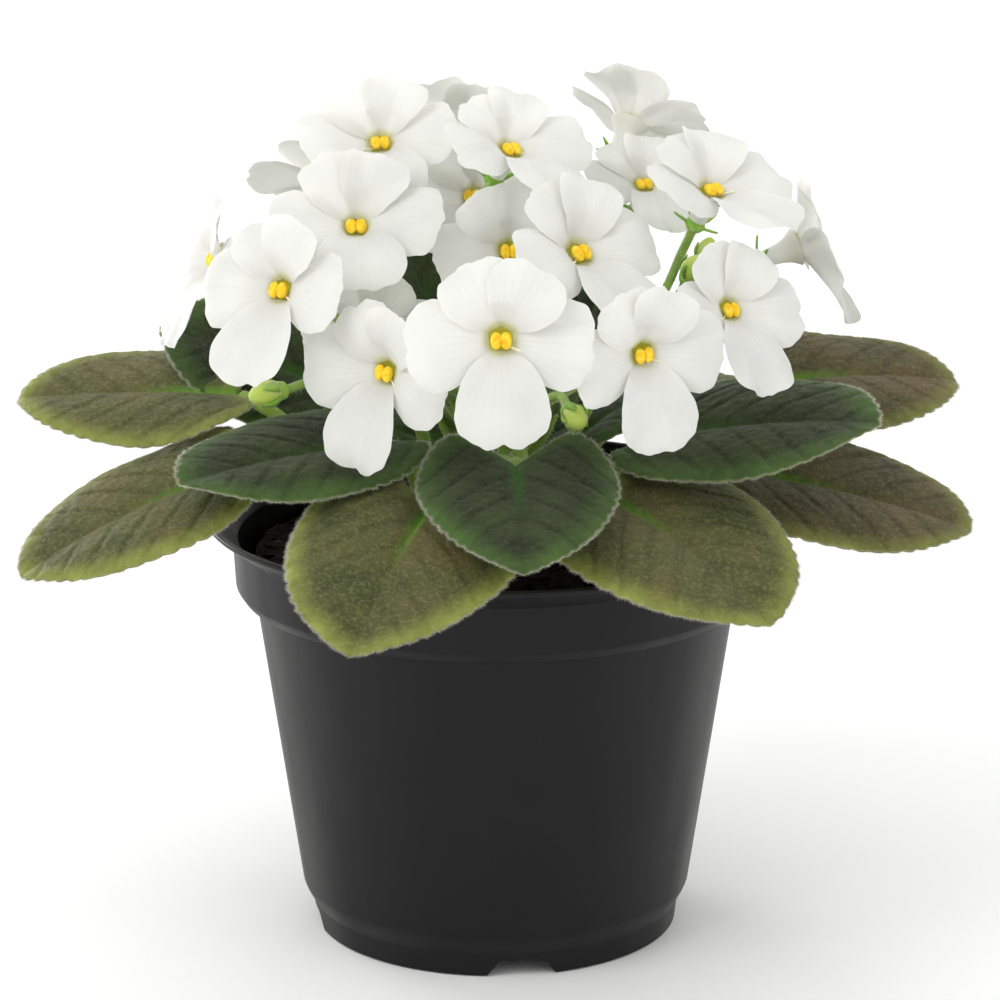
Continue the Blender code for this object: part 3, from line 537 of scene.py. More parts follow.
# White petal tissue: matt and thin, so light passes through it. Fine veins fan out from the throat, which
# is greenish yellow. bladeMap here is millimetres / 50, and rimMap.y the distance from the eye / 22 mm.
petalWhite, tree, shader = newMaterial("petal tissue", IOR=1.4, Roughness=0.55, Sheen_Weight=0.12)
where, _, ground = mottle(tree, 11.1, [(0.3, "#f3f3f0"), (0.6, "#f9f9f6")], Detail=3.0)
place, fromEye = onBlade(tree, "bladeMap"), onBlade(tree, "rimMap").outputs["Y"]
fan = addNode(tree, "Math", {0: place.outputs["X"], 1: 0.5}, operation="SUBTRACT")
reach = addNode(tree, "Math", {0: place.outputs["Y"], 1: 0.02}, operation="ADD")
slope = addNode(tree, "Math", {0: fan, 1: reach}, operation="DIVIDE")
lines = addNode(tree, "Math", {0: slope, 1: 46.0}, operation="MULTIPLY")  # a vein each 1 mm, halfway out
wave = addNode(tree, "Math", {0: lines}, operation="COSINE")
vein = addNode(tree, "MapRange", {"Value": wave, "From Min": 0.3, "From Max": 1.0,
                                   "To Min": 0.0, "To Max": 0.12})
fade = addNode(tree, "MapRange", {"Value": fromEye, "From Min": 0.15, "From Max": 0.75,
                                   "To Min": 1.0, "To Max": 0.15})
share = addNode(tree, "Math", {0: vein, 1: fade}, operation="MULTIPLY")
veined = addNode(tree, "Mix", {0: share, 6: ground, 7: hexToLinear("#d3cedb")}, data_type="RGBA")
throat = addNode(tree, "MapRange", {"Value": fromEye, "From Min": 0.1, "From Max": 0.2,
                                     "To Min": 1.0, "To Max": 0.0},
                 interpolation_type="SMOOTHSTEP")
depth = addNode(tree, "ValToRGB", {"Fac": fromEye}, stops=[(0.08, "#cfcb44"), (0.17, "#e2e4a0")])
throated = addNode(tree, "Mix", {0: throat, 6: veined.outputs[2], 7: depth}, data_type="RGBA").outputs[2]
low = addNode(tree, "Bump", {"Height": wave, "Strength": 0.05, "Distance": 0.0003})
cells = addNode(tree, "TexVoronoi", {"Vector": where, "Scale": scaleOf(0.3571)})  # the real cells are finer
fine = addNode(tree, "Bump", {"Height": cells, "Strength": 0.10, "Distance": 0.0002, "Normal": low})
feed(tree, shader, {"Base Color": throated, "Normal": fine})
letThrough(tree, shader, 0.46, Color=throated, Normal=low)

# Ripe anthers: bright yellow with a powder of pollen. The grit is drawn at 0.24 mm, far coarser than pollen.
pollenYellow, tree, shader = newMaterial("pollen covered anther", Roughness=0.7)
where, _, tone = mottle(tree, 1.111, [(0.3, "#efb30a"), (0.5, "#f9ce16"), (0.7, "#fde04a")], Detail=3.0)
grit = addNode(tree, "TexVoronoi", {"Vector": where, "Scale": scaleOf(0.2381)})
bump = addNode(tree, "Bump", {"Height": grit, "Strength": 0.35, "Distance": 0.0002})
feed(tree, shader, {"Base Color": tone, "Normal": bump})

# The style is pale and waxy, smooth as it grew.
styleCream, tree, shader = newMaterial("waxy style", Roughness=0.4, IOR=1.4)
feed(tree, shader, {"Base Color": mottle(tree, 3.33, [(0.3, "#e6e3b4"), (0.7, "#f4f1dc")])[2]})


# Plant hairs are colourless and catch the light. Those that lie on a blade take on its colour.
def plantHairs(name, low, high):
    made, tree, shader = newMaterial(name, Roughness=0.5, IOR=1.4)
    where, _, tone = mottle(tree, 5, [(0.3, low), (0.7, high)])
    feed(tree, shader, {"Base Color": tone})
    letThrough(tree, shader, 0.35, Color=tone)
    return made


paleHair = plantHairs("pale plant hair", "#cfd0bb", "#ecebdf")
oliveNap = plantHairs("olive leaf nap", "#7e8152", "#a3a578")
darkNap = plantHairs("dark leaf nap", "#465a3a", "#677b56")
print("materials ready")


pot = {
    "lipRadius": 60.0, "height": 88.5, "wall": 1.1, "bandRadius": 54.4, "bandBottom": 71.5,
    "bodyTop": 49.9, "bodyFoot": 40.6, "footRadius": 37.9, "footTop": 5.0, "floorTop": 5.2,
    "rounding": 0.35, "steps": 180,
    "notchFirst": 8.2, "notchTop": 9.5, "notchFoot": 14.3, "notchHeight": 3.6,
    "drainRadius": 4.0, "drainRing": 27.0,
}


# each corner of the profile is cut back and rounded, as a mould's edges are
def roundedProfile(points, radius):
    out = [points[0]]
    for before, here, after in zip(points, points[1:], points[2:]):
        a, b, c = Vector(before), Vector(here), Vector(after)
        toA, toC = (a - b), (c - b)
        cutA = min(radius, toA.length * 0.4)
        cutC = min(radius, toC.length * 0.4)
        p, q = b + toA.normalized() * cutA, b + toC.normalized() * cutC
        for t in (0, 0.33, 0.67, 1):
            out.append(tuple(p * (1 - t) ** 2 + b * 2 * t * (1 - t) + q * t**2))
    out.append(points[-1])
    return out


def buildPot():
    p = pot
    corners = [
        (p["lipRadius"] - 0.6, p["height"]),
        (p["lipRadius"], p["height"]),
        (p["lipRadius"], p["height"] - 0.9),
        (p["bandRadius"] + 0.1, p["height"] - 5),
        (p["bandRadius"] - 0.5, p["bandBottom"] + 2.2),
        (p["bandRadius"] - 1.8, p["bandBottom"] + 0.2),
        (p["bodyTop"], p["bandBottom"] - 0.2),
        (p["bodyFoot"], 9),
        (p["bodyFoot"] - 0.7, 7.4),
        (p["footRadius"] + 0.6, p["footTop"]),
        (p["footRadius"], 0),
        (p["footRadius"] - 1.6, 0),
        (p["footRadius"] - 1.4, p["floorTop"] - 1.3),
        (0, p["floorTop"] - 1.3),
    ]
    inside = [
        (0, p["floorTop"]),
        (p["footRadius"] - 0.9, p["floorTop"]),
        (p["bodyFoot"] - p["wall"], 9),
        (p["bodyTop"] - p["wall"], p["bandBottom"] + 0.6),
        (p["bandRadius"] - 0.5 - p["wall"], p["bandBottom"] + 3.2),
        (p["bandRadius"] - p["wall"], p["height"] - 5),
        (p["lipRadius"] - 1.2, p["height"]),
        (p["lipRadius"] - 0.6, p["height"]),
    ]
    profile = roundedProfile(corners, p["rounding"]) + roundedProfile(inside, p["rounding"])
    points, faces = lathe(profile[::-1], p["steps"])
    mesh = bpy.data.meshes.new("pot")
    mesh.from_pydata(points, [], faces)
    work = bmesh.new()
    work.from_mesh(mesh)
    bmesh.ops.remove_doubles(work, verts=work.verts, dist=1e-6)  # the wall's two halves meet here
    bmesh.ops.recalc_face_normals(work, faces=work.faces)
    work.to_mesh(mesh)
    work.free()
    body = addObject("pot work", mesh)
    cutters = bpy.data.collections.new("pot cutters")
    for i in range(4):
        compass = math.radians(p["notchFirst"] + 90 * i)
        work = bmesh.new()
        bmesh.ops.create_cube(work, size=1)
        for vert in work.verts:
            low = vert.co.z < 0
            wide = p["notchFoot"] + 2.7 if low else p["notchTop"]
            height = -2 if low else p["notchHeight"]
            vert.co = Vector((vert.co.x * wide, -p["footRadius"] + vert.co.y * 12, height)) * mm
        topEdges = [e for e in work.edges if min(v.co.z for v in e.verts) > 0]
        bmesh.ops.bevel(work, geom=topEdges, offset=0.6 * mm, segments=3, affect="EDGES")
        notchMesh = bpy.data.meshes.new("notch")
        work.to_mesh(notchMesh)
        work.free()
        notch = bpy.data.objects.new("notch", notchMesh)
        notch.rotation_euler.z = compass
        cutters.objects.link(notch)
        work = bmesh.new()
        bmesh.ops.create_cone(work, cap_ends=True, segments=32, radius1=p["drainRadius"] * mm,
                              radius2=p["drainRadius"] * mm, depth=12 * mm)
        drainMesh = bpy.data.meshes.new("drain")
        work.to_mesh(drainMesh)
        work.free()
        drain = bpy.data.objects.new("drain", drainMesh)
        drain.location = outFromAxis(math.degrees(compass), p["drainRing"], p["floorTop"])
        cutters.objects.link(drain)
    cut = body.modifiers.new("cut", "BOOLEAN")
    cut.operation = "DIFFERENCE"
    cut.operand_type = "COLLECTION"
    cut.collection = cutters
    cut.solver = "EXACT"
    bpy.context.view_layer.update()
    made = bpy.data.meshes.new_from_object(body.evaluated_get(bpy.context.evaluated_depsgraph_get()))
    bpy.data.objects.remove(body)
    for cutter in list(cutters.objects):
        bpy.data.objects.remove(cutter)
    bpy.data.collections.remove(cutters)
    made.materials.clear()
    made.materials.append(potBlack)
    made.shade_smooth()
    made.set_sharp_from_angle(angle=math.radians(38))
    obj = addObject("potShell", made)
    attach(obj, "root")
    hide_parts("pot")


buildPot()
print("pot ready")


soil = {
    "edgeHeight": 79.5, "mound": 3.0, "grain": 1.1, "steps": 150,
    "crumbs": 520, "barkShare": 0.22, "fibres": 90, "fibreRadius": 0.11, "seed": 31,
}


def crumb(rng, place, size):
    work = bmesh.new()
    bmesh.ops.create_icosphere(work, subdivisions=1, radius=size)
    shift = Vector((rng.uniform(0, 50), rng.uniform(0, 50), rng.uniform(0, 50)))
    squash = Vector((rng.uniform(0.7, 1.3), rng.uniform(0.6, 1.1), rng.uniform(0.45, 0.8)))
    turn = Matrix.Rotation(rng.uniform(0, 6.28), 3, "Z") @ Matrix.Rotation(rng.uniform(-0.6, 0.6), 3, "X")
    points = []
    for vert in work.verts:
        way = vert.co.normalized()
        co = vert.co * (1 + 0.35 * noise.noise(way * 1.7 + shift))
        points.append(place + turn @ Vector((co.x * squash.x, co.y * squash.y, co.z * squash.z)))
    faces = [tuple(v.index for v in face.verts) for face in work.faces]
    work.free()
    return points, faces


def soilHeight(x, y):
    reach = math.hypot(x, y)
    rows = [(8.3, 1.0), (17, 0.88), (29, 0.6), (40, 0.25), (49.7, 0.0)]
    reach = min(max(reach, rows[0][0]), rows[-1][0])
    for (r0, s0), (r1, s1) in zip(rows, rows[1:]):
        if reach <= r1:
            share = s0 + (s1 - s0) * (reach - r0) / (r1 - r0)
            break
    spot = Vector((x, y, 80))
    height = soil["edgeHeight"] + soil["mound"] * share
    height += soil["grain"] * noise.noise(spot / 7)
    height += 0.55 * noise.noise(spot / 2.4 + Vector((9, 4, 2))) + 0.3 * noise.noise(spot / 1.1)
    return height


def buildSoil():
    batch = Batch()
    rng = random.Random(soil["seed"])
    rim, foot = 48.1, 38.8  # inside the pot's wall
    topRings = [8.3 + 41.4 * (i / 52) for i in range(53)]
    profile = [(0, 65.7), (8.3, 65.7)]
    profile += [(r, 82) for r in topRings]
    profile += [(rim + 1.4, 76), (rim, 71), (foot, 9.5), (foot - 2.5, 5.5), (0, 5.5)]

    def rough(p):
        if abs(p.z - 82 * mm) > 1e-6:
            return p
        x, y = p.x / mm, p.y / mm
        return Vector((p.x, p.y, soilHeight(x, y) * mm))

    points, faces = lathe(profile, soil["steps"], rough)
    batch.add(points, [face[::-1] for face in faces], 0)
    for _ in range(soil["crumbs"]):
        reach = math.sqrt(rng.uniform(10.0**2, 48.0**2))
        turn = rng.uniform(0, 2 * math.pi)
        x, y = reach * math.cos(turn), reach * math.sin(turn)
        size = rng.choice((0.5, 0.7, 0.9, 1.2, 1.7))
        reachLimit = min(1.0, (49.0 - reach) / 2)
        place = Vector((x, y, soilHeight(x, y) + 0.1 * size)) * mm
        isBark = rng.random() < soil["barkShare"]
        if size > 1 and reachLimit < 1:
            size = 0.6
        batch.add(*crumb(rng, place, size * mm), 1 if isBark else 0)
    for _ in range(soil["fibres"]):
        reach = math.sqrt(rng.uniform(12.0**2, 45.0**2))
        turn = rng.uniform(0, 2 * math.pi)
        x, y = reach * math.cos(turn), reach * math.sin(turn)
        way = rng.uniform(0, 2 * math.pi)
        path = []
        for k in range(5):
            px, py = x + 1.1 * k * math.cos(way), y + 1.1 * k * math.sin(way)
            way += rng.uniform(-0.5, 0.5)
            if math.hypot(px, py) > 48:
                break
            path.append(Vector((px, py, soilHeight(px, py) + 0.25)) * mm)
        if len(path) > 2:
            batch.add(*stem(path, [soil["fibreRadius"] * mm] * len(path), 4), 1)
    batch.piece("pottingSoil", [peat, bark], "soil", sharp=50)


buildSoil()
print("soil ready")


# root: compass and height on the crown; base: compass, reach and height where the blade starts; heading:
# the way the blade points; slope: its rise at the base and at the tip; roll; size: length and width
leafColumns = ("root", "base", "heading", "slope", "roll", "size")
leafRows = {
    "outer_left": ((-94, 86), (-92, 53, 112), -94, (4, -8), -16, (44.4, 40)),
    "outer_front_left": ((-67, 86), (-66, 57, 102.5), -66, (-10, -32), -10, (46.8, 40)),
    "front_left": ((-20, 86), (-17, 44, 100.5), -17, (-10, -32), -6, (46.5, 46)),
    "front_right": ((33, 86), (35, 38, 99), 37, (-2, -30), 8, (50, 47)),
    "outer_right": ((70, 86), (73, 53, 100), 74, (-4, -18), 15, (45.6, 40)),
    "outer_back_right": ((100, 86), (98, 56, 113), 100, (8, -12), 20, (40.4, 36)),
    "inner_back_left": ((-118, 90.5), (-110, 36, 110.5), -108, (32, 18), -34, (37, 32)),
    "inner_left": ((-48, 90.5), (-46, 31, 108), -58, (4, -8), -10, (45, 38)),
    "inner_front": ((6, 90.5), (6.5, 35.5, 107.4), 2, (-6, -22), 0, (41, 40)),
    "inner_right": ((62, 90.5), (62, 36, 107.5), 68, (20, 2), 18, (48, 40)),
    "outer_back_far_right": ((138, 86), (138, 44, 103), 138, (6, -20), 0, (44, 41)),
    "outer_back": ((178, 86), (178, 40, 101), 176, (4, -24), 0, (46, 43)),
    "outer_back_far_left": ((-140, 86), (-142, 44, 102), -142, (6, -20), 0, (44, 41)),
    "inner_back": ((158, 90.5), (158, 30, 110), 158, (16, -8), 0, (40, 37)),
}
leaves = {name: dict(zip(leafColumns, row)) for name, row in leafRows.items()}
leafBuild = {
    "crownRadius": 8.0, "lobe": 0.16, "thickness": 0.8, "spacing": 0.62, "teeth": 46, "tooth": 0.38,
    "hearts": {"front_left": (0.16, 0.19), "front_right": (0.12, 0.16), "inner_front": (0.24, 0.2)},
    "bronze": ("outer_right", "outer_back_right", "outer_back"),
    "veinSlant": 0.9, "veinCurve": 0.012, "veinDepth": 0.32,
    "pillow": 0.22, "pillowSize": 2.6, "ribDepth": 0.5, "petioleRadius": 1.7, "petioleTaper": 0.65,
    "rimHairs": 8, "skinHairs": 2400, "hairLength": 0.7, "hairRadius": 0.028,
}


def arch(distance, length, slope):
    start, end = (math.radians(angle) for angle in slope)
    curl = (end - start) / length
    if distance <= 0 or abs(curl) < 1e-6:
        return distance * math.cos(start), distance * math.sin(start), start
    angle = start + curl * distance
    return (math.sin(angle) - math.sin(start)) / curl, (math.cos(start) - math.cos(angle)) / curl, angle


# heart says how much wider the blade is at its foot than near the tip
def leafOutline(length, width, count, teeth, tooth, heart=0.08, lobe=0.16):
    lobe = lobe * length
    centre = Vector((0, 0.45 * length))
    points = []
    for i in range(count):
        turn = 2 * math.pi * i / count
        near = min(turn, 2 * math.pi - turn)
        side = math.sin(turn)
        across = 0.5 * width * math.copysign(abs(side) ** 0.88, side) * (1 + heart * (math.cos(turn) - 0.15))
        along = (length + lobe) * (1 - math.cos(turn)) / 2 - lobe * (1 - math.exp(-((near / 0.3) ** 2)))
        along += 0.035 * length * math.exp(-(((math.pi - near) / 0.25) ** 2))
        rim = Vector((across, along))
        uneven = 1 + 0.45 * math.sin(5 * turn + length) + 0.3 * math.sin(13 * turn + width)
        scallop = tooth * uneven * (abs(math.cos(turn * teeth / 2)) - 0.6) * min(1, near / 0.4)
        points.append(tuple((rim + (rim - centre).normalized() * scallop) * mm))
    return points


def leafSurface(length, width, slope, seed):
    wave = random.Random(seed).uniform(0, 6.28)
    lobe = leafBuild["lobe"]

    def surface(x, y):
        across, along = x / mm, y / mm
        out, up, angle = arch(along, length, slope)
        share = 2 * across / width
        gutter = 0.1 + 0.18 * math.exp(-max(0, along + lobe * length) / (0.3 * length))
        lift = width * (gutter * abs(share) ** 0.8 - 0.15 * share**2)
        lift += 0.5 * math.sin(9 * along / length + 2.5 * abs(share) + wave) * abs(share)
        return Vector((across, out - lift * math.sin(angle), up + lift * math.cos(angle))) * mm

    return surface


# grooves along the veins on the top skin, ridges on the lower one, and small pillows between them
def leafRelief(length, shift):
    b = leafBuild

    def relief(x, y, edge):
        across, along = abs(x) / mm, y / mm
        phase = (along - across * (b["veinSlant"] + b["veinCurve"] * across) + 10) / veinGap
        off = abs(phase - round(phase)) * veinGap
        vein = math.exp(-((off / 0.75) ** 2)) * (1 - math.exp(-across / 2))
        rib = math.exp(-((across / 0.9) ** 2)) * max(0, 1 - along / (0.95 * length))
        spot = Vector((x / mm, y / mm, shift))
        pillow = 1 - noise.voronoi(spot / b["pillowSize"])[0][0] * 1.6
        fade = min(1, edge / (1.2 * mm))
        rise = (-b["veinDepth"] * vein - b["ribDepth"] * rib + b["pillow"] * pillow * fade) * mm
        sink = (0.3 * vein + 0.2 * rib) * mm
        return rise, sink

    return relief


def bladeFrame(base, heading, roll):
    turn = Matrix.Rotation(math.radians(heading) + math.pi, 4, "Z")
    return Matrix.Translation(base) @ turn @ Matrix.Rotation(math.radians(roll), 4, "Y")


def placed(matrix, points):
    return [matrix @ p for p in points]


def addBlade(batch, matrix, sheet, slots, mapScale):
    where = [(0.5 + p.x / (mapScale * mm), (p.y + 10 * mm) / (mapScale * mm)) for p in sheet["spots"]]
    rim = [(min(1, e / (10 * mm)), 0.5) for e in sheet["edges"]]
    start = batch.add(placed(matrix, sheet["points"]), sheet["top"], slots[0], where, rim)
    batch.faces += [tuple(start + i for i in face) for face in sheet["bottom"]]
    batch.slots += [slots[1]] * len(sheet["bottom"])


def addLeafHairs(batch, matrix, sheet, rng, rimSlot, skinSlot, count, perRim):
    b = leafBuild
    normals, rimCount = sheet["normals"], sheet["rimCount"]
    hairs = []
    centre = sheet["points"][rimCount]
    for i in range(rimCount):
        here, ahead = sheet["points"][i], sheet["points"][(i + 1) % rimCount]
        along = (ahead - here).normalized()
        outward = along.cross(normals[i]).normalized()
        if outward.dot(here - centre) < 0 and i > 0.06 * rimCount and i < 0.94 * rimCount:
            outward = -outward
        for _ in range(perRim):
            way = outward + normals[i] * rng.uniform(-0.35, 0.75) + along * rng.uniform(-0.6, 0.6)
            way = way.normalized()
            foot = here.lerp(ahead, rng.random())
            length = b["hairLength"] * rng.uniform(0.6, 1.25) * mm
            bend = Vector((0, 0, 1)) * length * rng.uniform(-0.15, 0.25)
            hairs.append(placed(matrix, hairSpike(foot, way, length, b["hairRadius"] * mm, bend)))
    addHairs(batch, hairs, rimSlot)
    hairs = []
    inner = range(rimCount, len(normals))
    for _ in range(count):
        i = rng.choice(inner)
        up = normals[i]
        lean = Vector((rng.uniform(-1, 1), rng.uniform(-1, 1), rng.uniform(-0.3, 0.3)))
        way = (up + lean * 0.65).normalized()
        foot = sheet["points"][i] + Vector((rng.uniform(-0.3, 0.3), rng.uniform(-0.3, 0.3), 0)) * mm
        length = b["hairLength"] * rng.uniform(0.5, 1.0) * mm
        hairs.append(placed(matrix, hairSpike(foot, way, length, b["hairRadius"] * mm, Vector((0, 0, 0)))))
    addHairs(batch, hairs, skinSlot)


def stemHairs(path, radii, rng, count, length, radius):
    hairs = []
    for _ in range(count):
        place = rng.uniform(0, len(path) - 1.001)
        k = int(place)
        centre = path[k].lerp(path[k + 1], place - k)
        thick = radii[k] + (radii[k + 1] - radii[k]) * (place - k)
        ahead = (path[k + 1] - path[k]).normalized()
        side = ahead.orthogonal().normalized()
        turn = rng.uniform(0, 2 * math.pi)
        out = side * math.cos(turn) + ahead.cross(side) * math.sin(turn)
        way = (out + ahead * rng.uniform(-0.3, 0.5)).normalized()
        size = length * rng.uniform(0.6, 1.2)
        hairs.append(hairSpike(centre + out * thick, way, size, radius, Vector((0, 0, 0))))
    return hairs


def buildLeaf(seed, name, spec):
    b = leafBuild
    rng = random.Random(100 + seed)
    length, width = spec["size"]
    base = outFromAxis(*spec["base"])
    matrix = bladeFrame(base, spec["heading"], spec["roll"])
    surface = leafSurface(length, width, spec["slope"], seed)
    heart, lobe = b["hearts"].get(name, (0.08, b["lobe"]))
    outline = leafOutline(length, width, 6 * b["teeth"], b["teeth"], b["tooth"], heart, lobe)
    sheet = tissueSheet(outline, (0, 0.45 * length * mm), b["spacing"] * mm, surface, b["thickness"] * mm,
                        leafRelief(length, 7.3 * seed), 1.6 * mm)
    batch = Batch()
    addBlade(batch, matrix, sheet, (0, 1), bladeSpan)
    compass, height = spec["root"]
    root = outFromAxis(compass, b["crownRadius"] + 0.3, height)
    start = outFromAxis(compass, b["crownRadius"] + 3, height)
    rise = outFromAxis(compass, b["crownRadius"] + 11, height + 3.2)
    under = []
    for share, drop in ((-0.1, 1.5), (0, 1.2), (0.12, 0.9), (0.4, 0.5)):
        under.append(matrix @ (surface(0, share * length * mm) - Vector((0, 0, drop * mm))))
    count = 26
    path = [root] + smoothPath([start, rise, *under], count)
    radii = []
    for i in range(len(path)):
        place = max(0, (i - 1) / (count - 1) * 5 - 1) if i else 0
        radii.append(b["petioleRadius"] * (1 - b["petioleTaper"] * place / 4) * mm)
    batch.add(*stem(path, radii, 12), 2)
    addHairs(batch, stemHairs(path[:-8], radii, rng, 420, 0.9 * mm, b["hairRadius"] * mm), 3)
    addLeafHairs(batch, matrix, sheet, rng, 3, 4, b["skinHairs"], b["rimHairs"])
    inner = "inner" in name
    mature = leafBronze if name in b["bronze"] else leafOlive
    skins = [leafDark, liningDark] if inner else [mature, liningOlive]
    skins += [petioleGreen, paleHair, darkNap if inner else oliveNap]
    batch.piece("blade_" + name, skins, "leaf_" + name)


for seed, (name, spec) in enumerate(leaves.items()):
    buildLeaf(seed, name, spec)
print("leaves ready")


crown = {
    "radius": 8.0, "foot": 66.0, "top": 99.0, "steps": 40, "thickness": 0.8,
    "youngCompass": (-50, 54, 128, -134), "youngSize": (15, 12), "youngSlope": (62, 30),
    # half grown leaves among the flower stalks: compass, reach and height of the base, slope, size
    "halfGrown": (
        (-163, 15, 99, (40, 15), (22, 19)), (-128, 15, 99, (42, 15), (23, 20)),
        (-99, 19, 100, (34, 10), (22, 16)), (110, 15, 99, (42, 15), (23, 20)),
        (148, 15, 99, (38, 12), (22, 18)), (-146, 17, 111, (68, 48), (34, 28)),
        (131, 17, 110, (66, 44), (30, 24)),
    ),
    # how finely each kind is made: under is how far its stalk lies below the blade, at its foot and beyond
    "youngMake": {
        "rim": 96, "teeth": 20, "tooth": 0.18, "spacing": 0.6, "edge": 0.9, "wave": 0, "shift": 50,
        "skins": (0, 0), "mapSpan": 24, "under": (0.7, 0.3), "stalk": (1.5, 0.9), "stalkHairs": 160,
        "hairSlot": 2, "hairs": 260,
    },
    "halfGrownMake": {
        "rim": 144, "teeth": 26, "tooth": 0.28, "spacing": 0.75, "edge": 1.2, "wave": 60, "shift": 80,
        "skins": (3, 4), "mapSpan": 60, "under": (0.9, 0.35), "stalk": (1.4, 0.8), "stalkHairs": 0,
        "hairSlot": 5, "hairs": 500,
    },
}


# a place just under the blade's midrib, a share of its length from the base
def underBlade(matrix, surface, slope, length, share, depth):
    angle = arch(share * length, length, slope)[2]
    down = Vector((0, math.sin(angle), -math.cos(angle)))
    return matrix @ (surface(0, share * length * mm) + down * depth * mm)


def addSmallLeaf(batch, rng, make, i, compass, base, foot, slope, size):
    length, width = size
    matrix = bladeFrame(base, compass, 0)
    surface = leafSurface(length, width, slope, make["wave"] + i)
    outline = leafOutline(length, width, make["rim"], make["teeth"], make["tooth"])
    sheet = tissueSheet(outline, (0, 0.45 * length * mm), make["spacing"] * mm, surface,
                        crown["thickness"] * mm, leafRelief(length, make["shift"] + i), make["edge"] * mm)
    addBlade(batch, matrix, sheet, make["skins"], make["mapSpan"])
    under = [underBlade(matrix, surface, slope, length, share, depth)
             for share, depth in zip((0, 0.35), make["under"])]
    path = smoothPath(foot + under, 14)
    thick, thinner = make["stalk"]
    radii = [(thick - thinner * (k / 13) ** 1.5) * mm for k in range(14)]
    batch.add(*stem(path, radii, 10), 1)
    addHairs(batch, stemHairs(path, radii, rng, make["stalkHairs"], 0.8 * mm, 0.03 * mm), 2)
    addLeafHairs(batch, matrix, sheet, rng, 2, make["hairSlot"], make["hairs"], 2)


def buildCrown():
    c = crown
    rng = random.Random(7)
    batch = Batch()
    profile = [(0, c["foot"]), (0.6 * c["radius"], c["foot"]), (c["radius"], c["foot"] + 3)]
    profile += [(c["radius"], c["foot"] + 3 + k * 4) for k in range(1, 7)]
    for share, drop in ((1, 2), (0.9, 0.9), (0.7, 0.3), (0.35, 0.05), (0, 0)):
        profile.append((share * c["radius"], c["top"] - drop))

    def knobbly(p):
        if p.z < 82 * mm:
            return p
        out = Vector((p.x, p.y, 0))
        return p - out * 0.05 * (1 + noise.noise(p / (4 * mm)))

    points, faces = lathe(profile, c["steps"], knobbly)
    batch.add(points, [face[::-1] for face in faces], 1)
    for i, compass in enumerate(c["youngCompass"]):
        base = outFromAxis(compass, 12, c["top"] + 8)
        foot = [outFromAxis(compass, 3.5, c["top"] - 3), outFromAxis(compass, 7, c["top"] + 2)]
        addSmallLeaf(batch, rng, c["youngMake"], i, compass, base, foot, c["youngSlope"], c["youngSize"])
    for i, (compass, reach, height, slope, size) in enumerate(c["halfGrown"]):
        rise = outFromAxis(compass, 0.5 * (c["radius"] + reach), 0.35 * 92 + 0.65 * height - 2)
        foot = [outFromAxis(compass, c["radius"] - 1, 92), rise]
        base = outFromAxis(compass, reach, height)
        addSmallLeaf(batch, rng, c["halfGrownMake"], i, compass, base, foot, slope, size)
    skins = [leafYoung, petioleGreen, paleHair, leafDark, liningDark, darkNap]
    batch.piece("crownStem", skins, "crown")


buildCrown()
print("crown ready")


# eye: the middle of the flower; face: the compass way it looks; tilt above level; cup: how far the
# petals lean forward; spin in its own face; size against the usual flower
flowerColumns = ("eye", "face", "tilt", "cup", "spin", "size")
flowerRows = {
    "front_middle": ((1, -61, 139.5), 2, 15, 8, 0, 1.0),
    "front_left": ((-20, -44, 129), -35, 9, 20, -4, 0.97),
    "front_right": ((27.5, -50.5, 134.5), 26, 4, 17, 4, 0.94),
    "right": ((45, -28, 137), 40, 26, 21, -4, 0.92),
    "left": ((-41, -34, 142.5), -33, 25, 20, 4, 1.0),
    "upper_left": ((-28, -15.5, 150), 5, 50, 25, 0, 1.04),
    "top_left": ((-23.5, 7.5, 162.5), 0, 51, 22, 6, 0.97),
    "top_middle": ((2, -5, 163.5), 40, 54, 20, -4, 0.95),
    "middle_right": ((15, -32, 148.5), 44, 42, 20, 0, 1.06),
    "middle": ((2.5, -12.5, 145.5), 9, 25, 18, 0, 0.95),
    "middle_deep": ((-4, 10.5, 151.5), -22, 39, 20, 6, 0.85),
    "upper_right": ((42.5, -10.5, 156), 41, 59, 22, 0, 1.0),
    "upper_right_deep": ((30, 12, 153), 21, 58, 20, 0, 0.82),
    "top_right_back": ((27, 22, 163.5), 150, 46, 24, 0, 0.95),
    "far_right": ((60, 8, 141.5), 104, 18, 22, 0, 0.95),
    "far_left": ((-54.5, -12, 143.5), -72, 20, 15, 0, 0.92),
    "upper_left_back": ((-36, 18, 152), -160, 50, 22, 0, 0.88),
    "low_left_deep": ((-24.5, -16, 131), -4, 14, 16, 0, 0.8),
    "top_back": ((-8.5, 30, 158.5), 176, 46, 20, 0, 0.95),
}
flowers = {name: dict(zip(flowerColumns, row)) for name, row in flowerRows.items()}
petalColumns = ("angle", "length", "width", "layer", "curl")
petalRows = ((98, 18.5, 16.5, 0, -0.05), (-98, 18.5, 16.5, 0, -0.05), (180, 22, 17, 1, 0.03),
             (27, 15.5, 14.5, 1, 0.0), (-27, 15.5, 14.5, 2, 0.05))
petals = [dict(zip(petalColumns, row)) for row in petalRows]
petalBuild = {
    "reach": 22.0, "layerStep": 0.9, "layerStart": 3.4, "layerFull": 4.0, "ruffle": 0.5, "frill": 0.32,
    "thickness": 0.34, "spacing": 0.8, "throat": 3.0, "tube": 5.0, "tipLift": (-2.2, 1.0), "fold": (0.3, 0.8),
    "pillow": (0.4, 1.7), "mapSpan": 50, "rimSpan": 10,
}


def faceHeight(reach, cup):
    out, up, _ = arch(reach, petalBuild["reach"], (cup + 14, cup - 16))
    return out, up


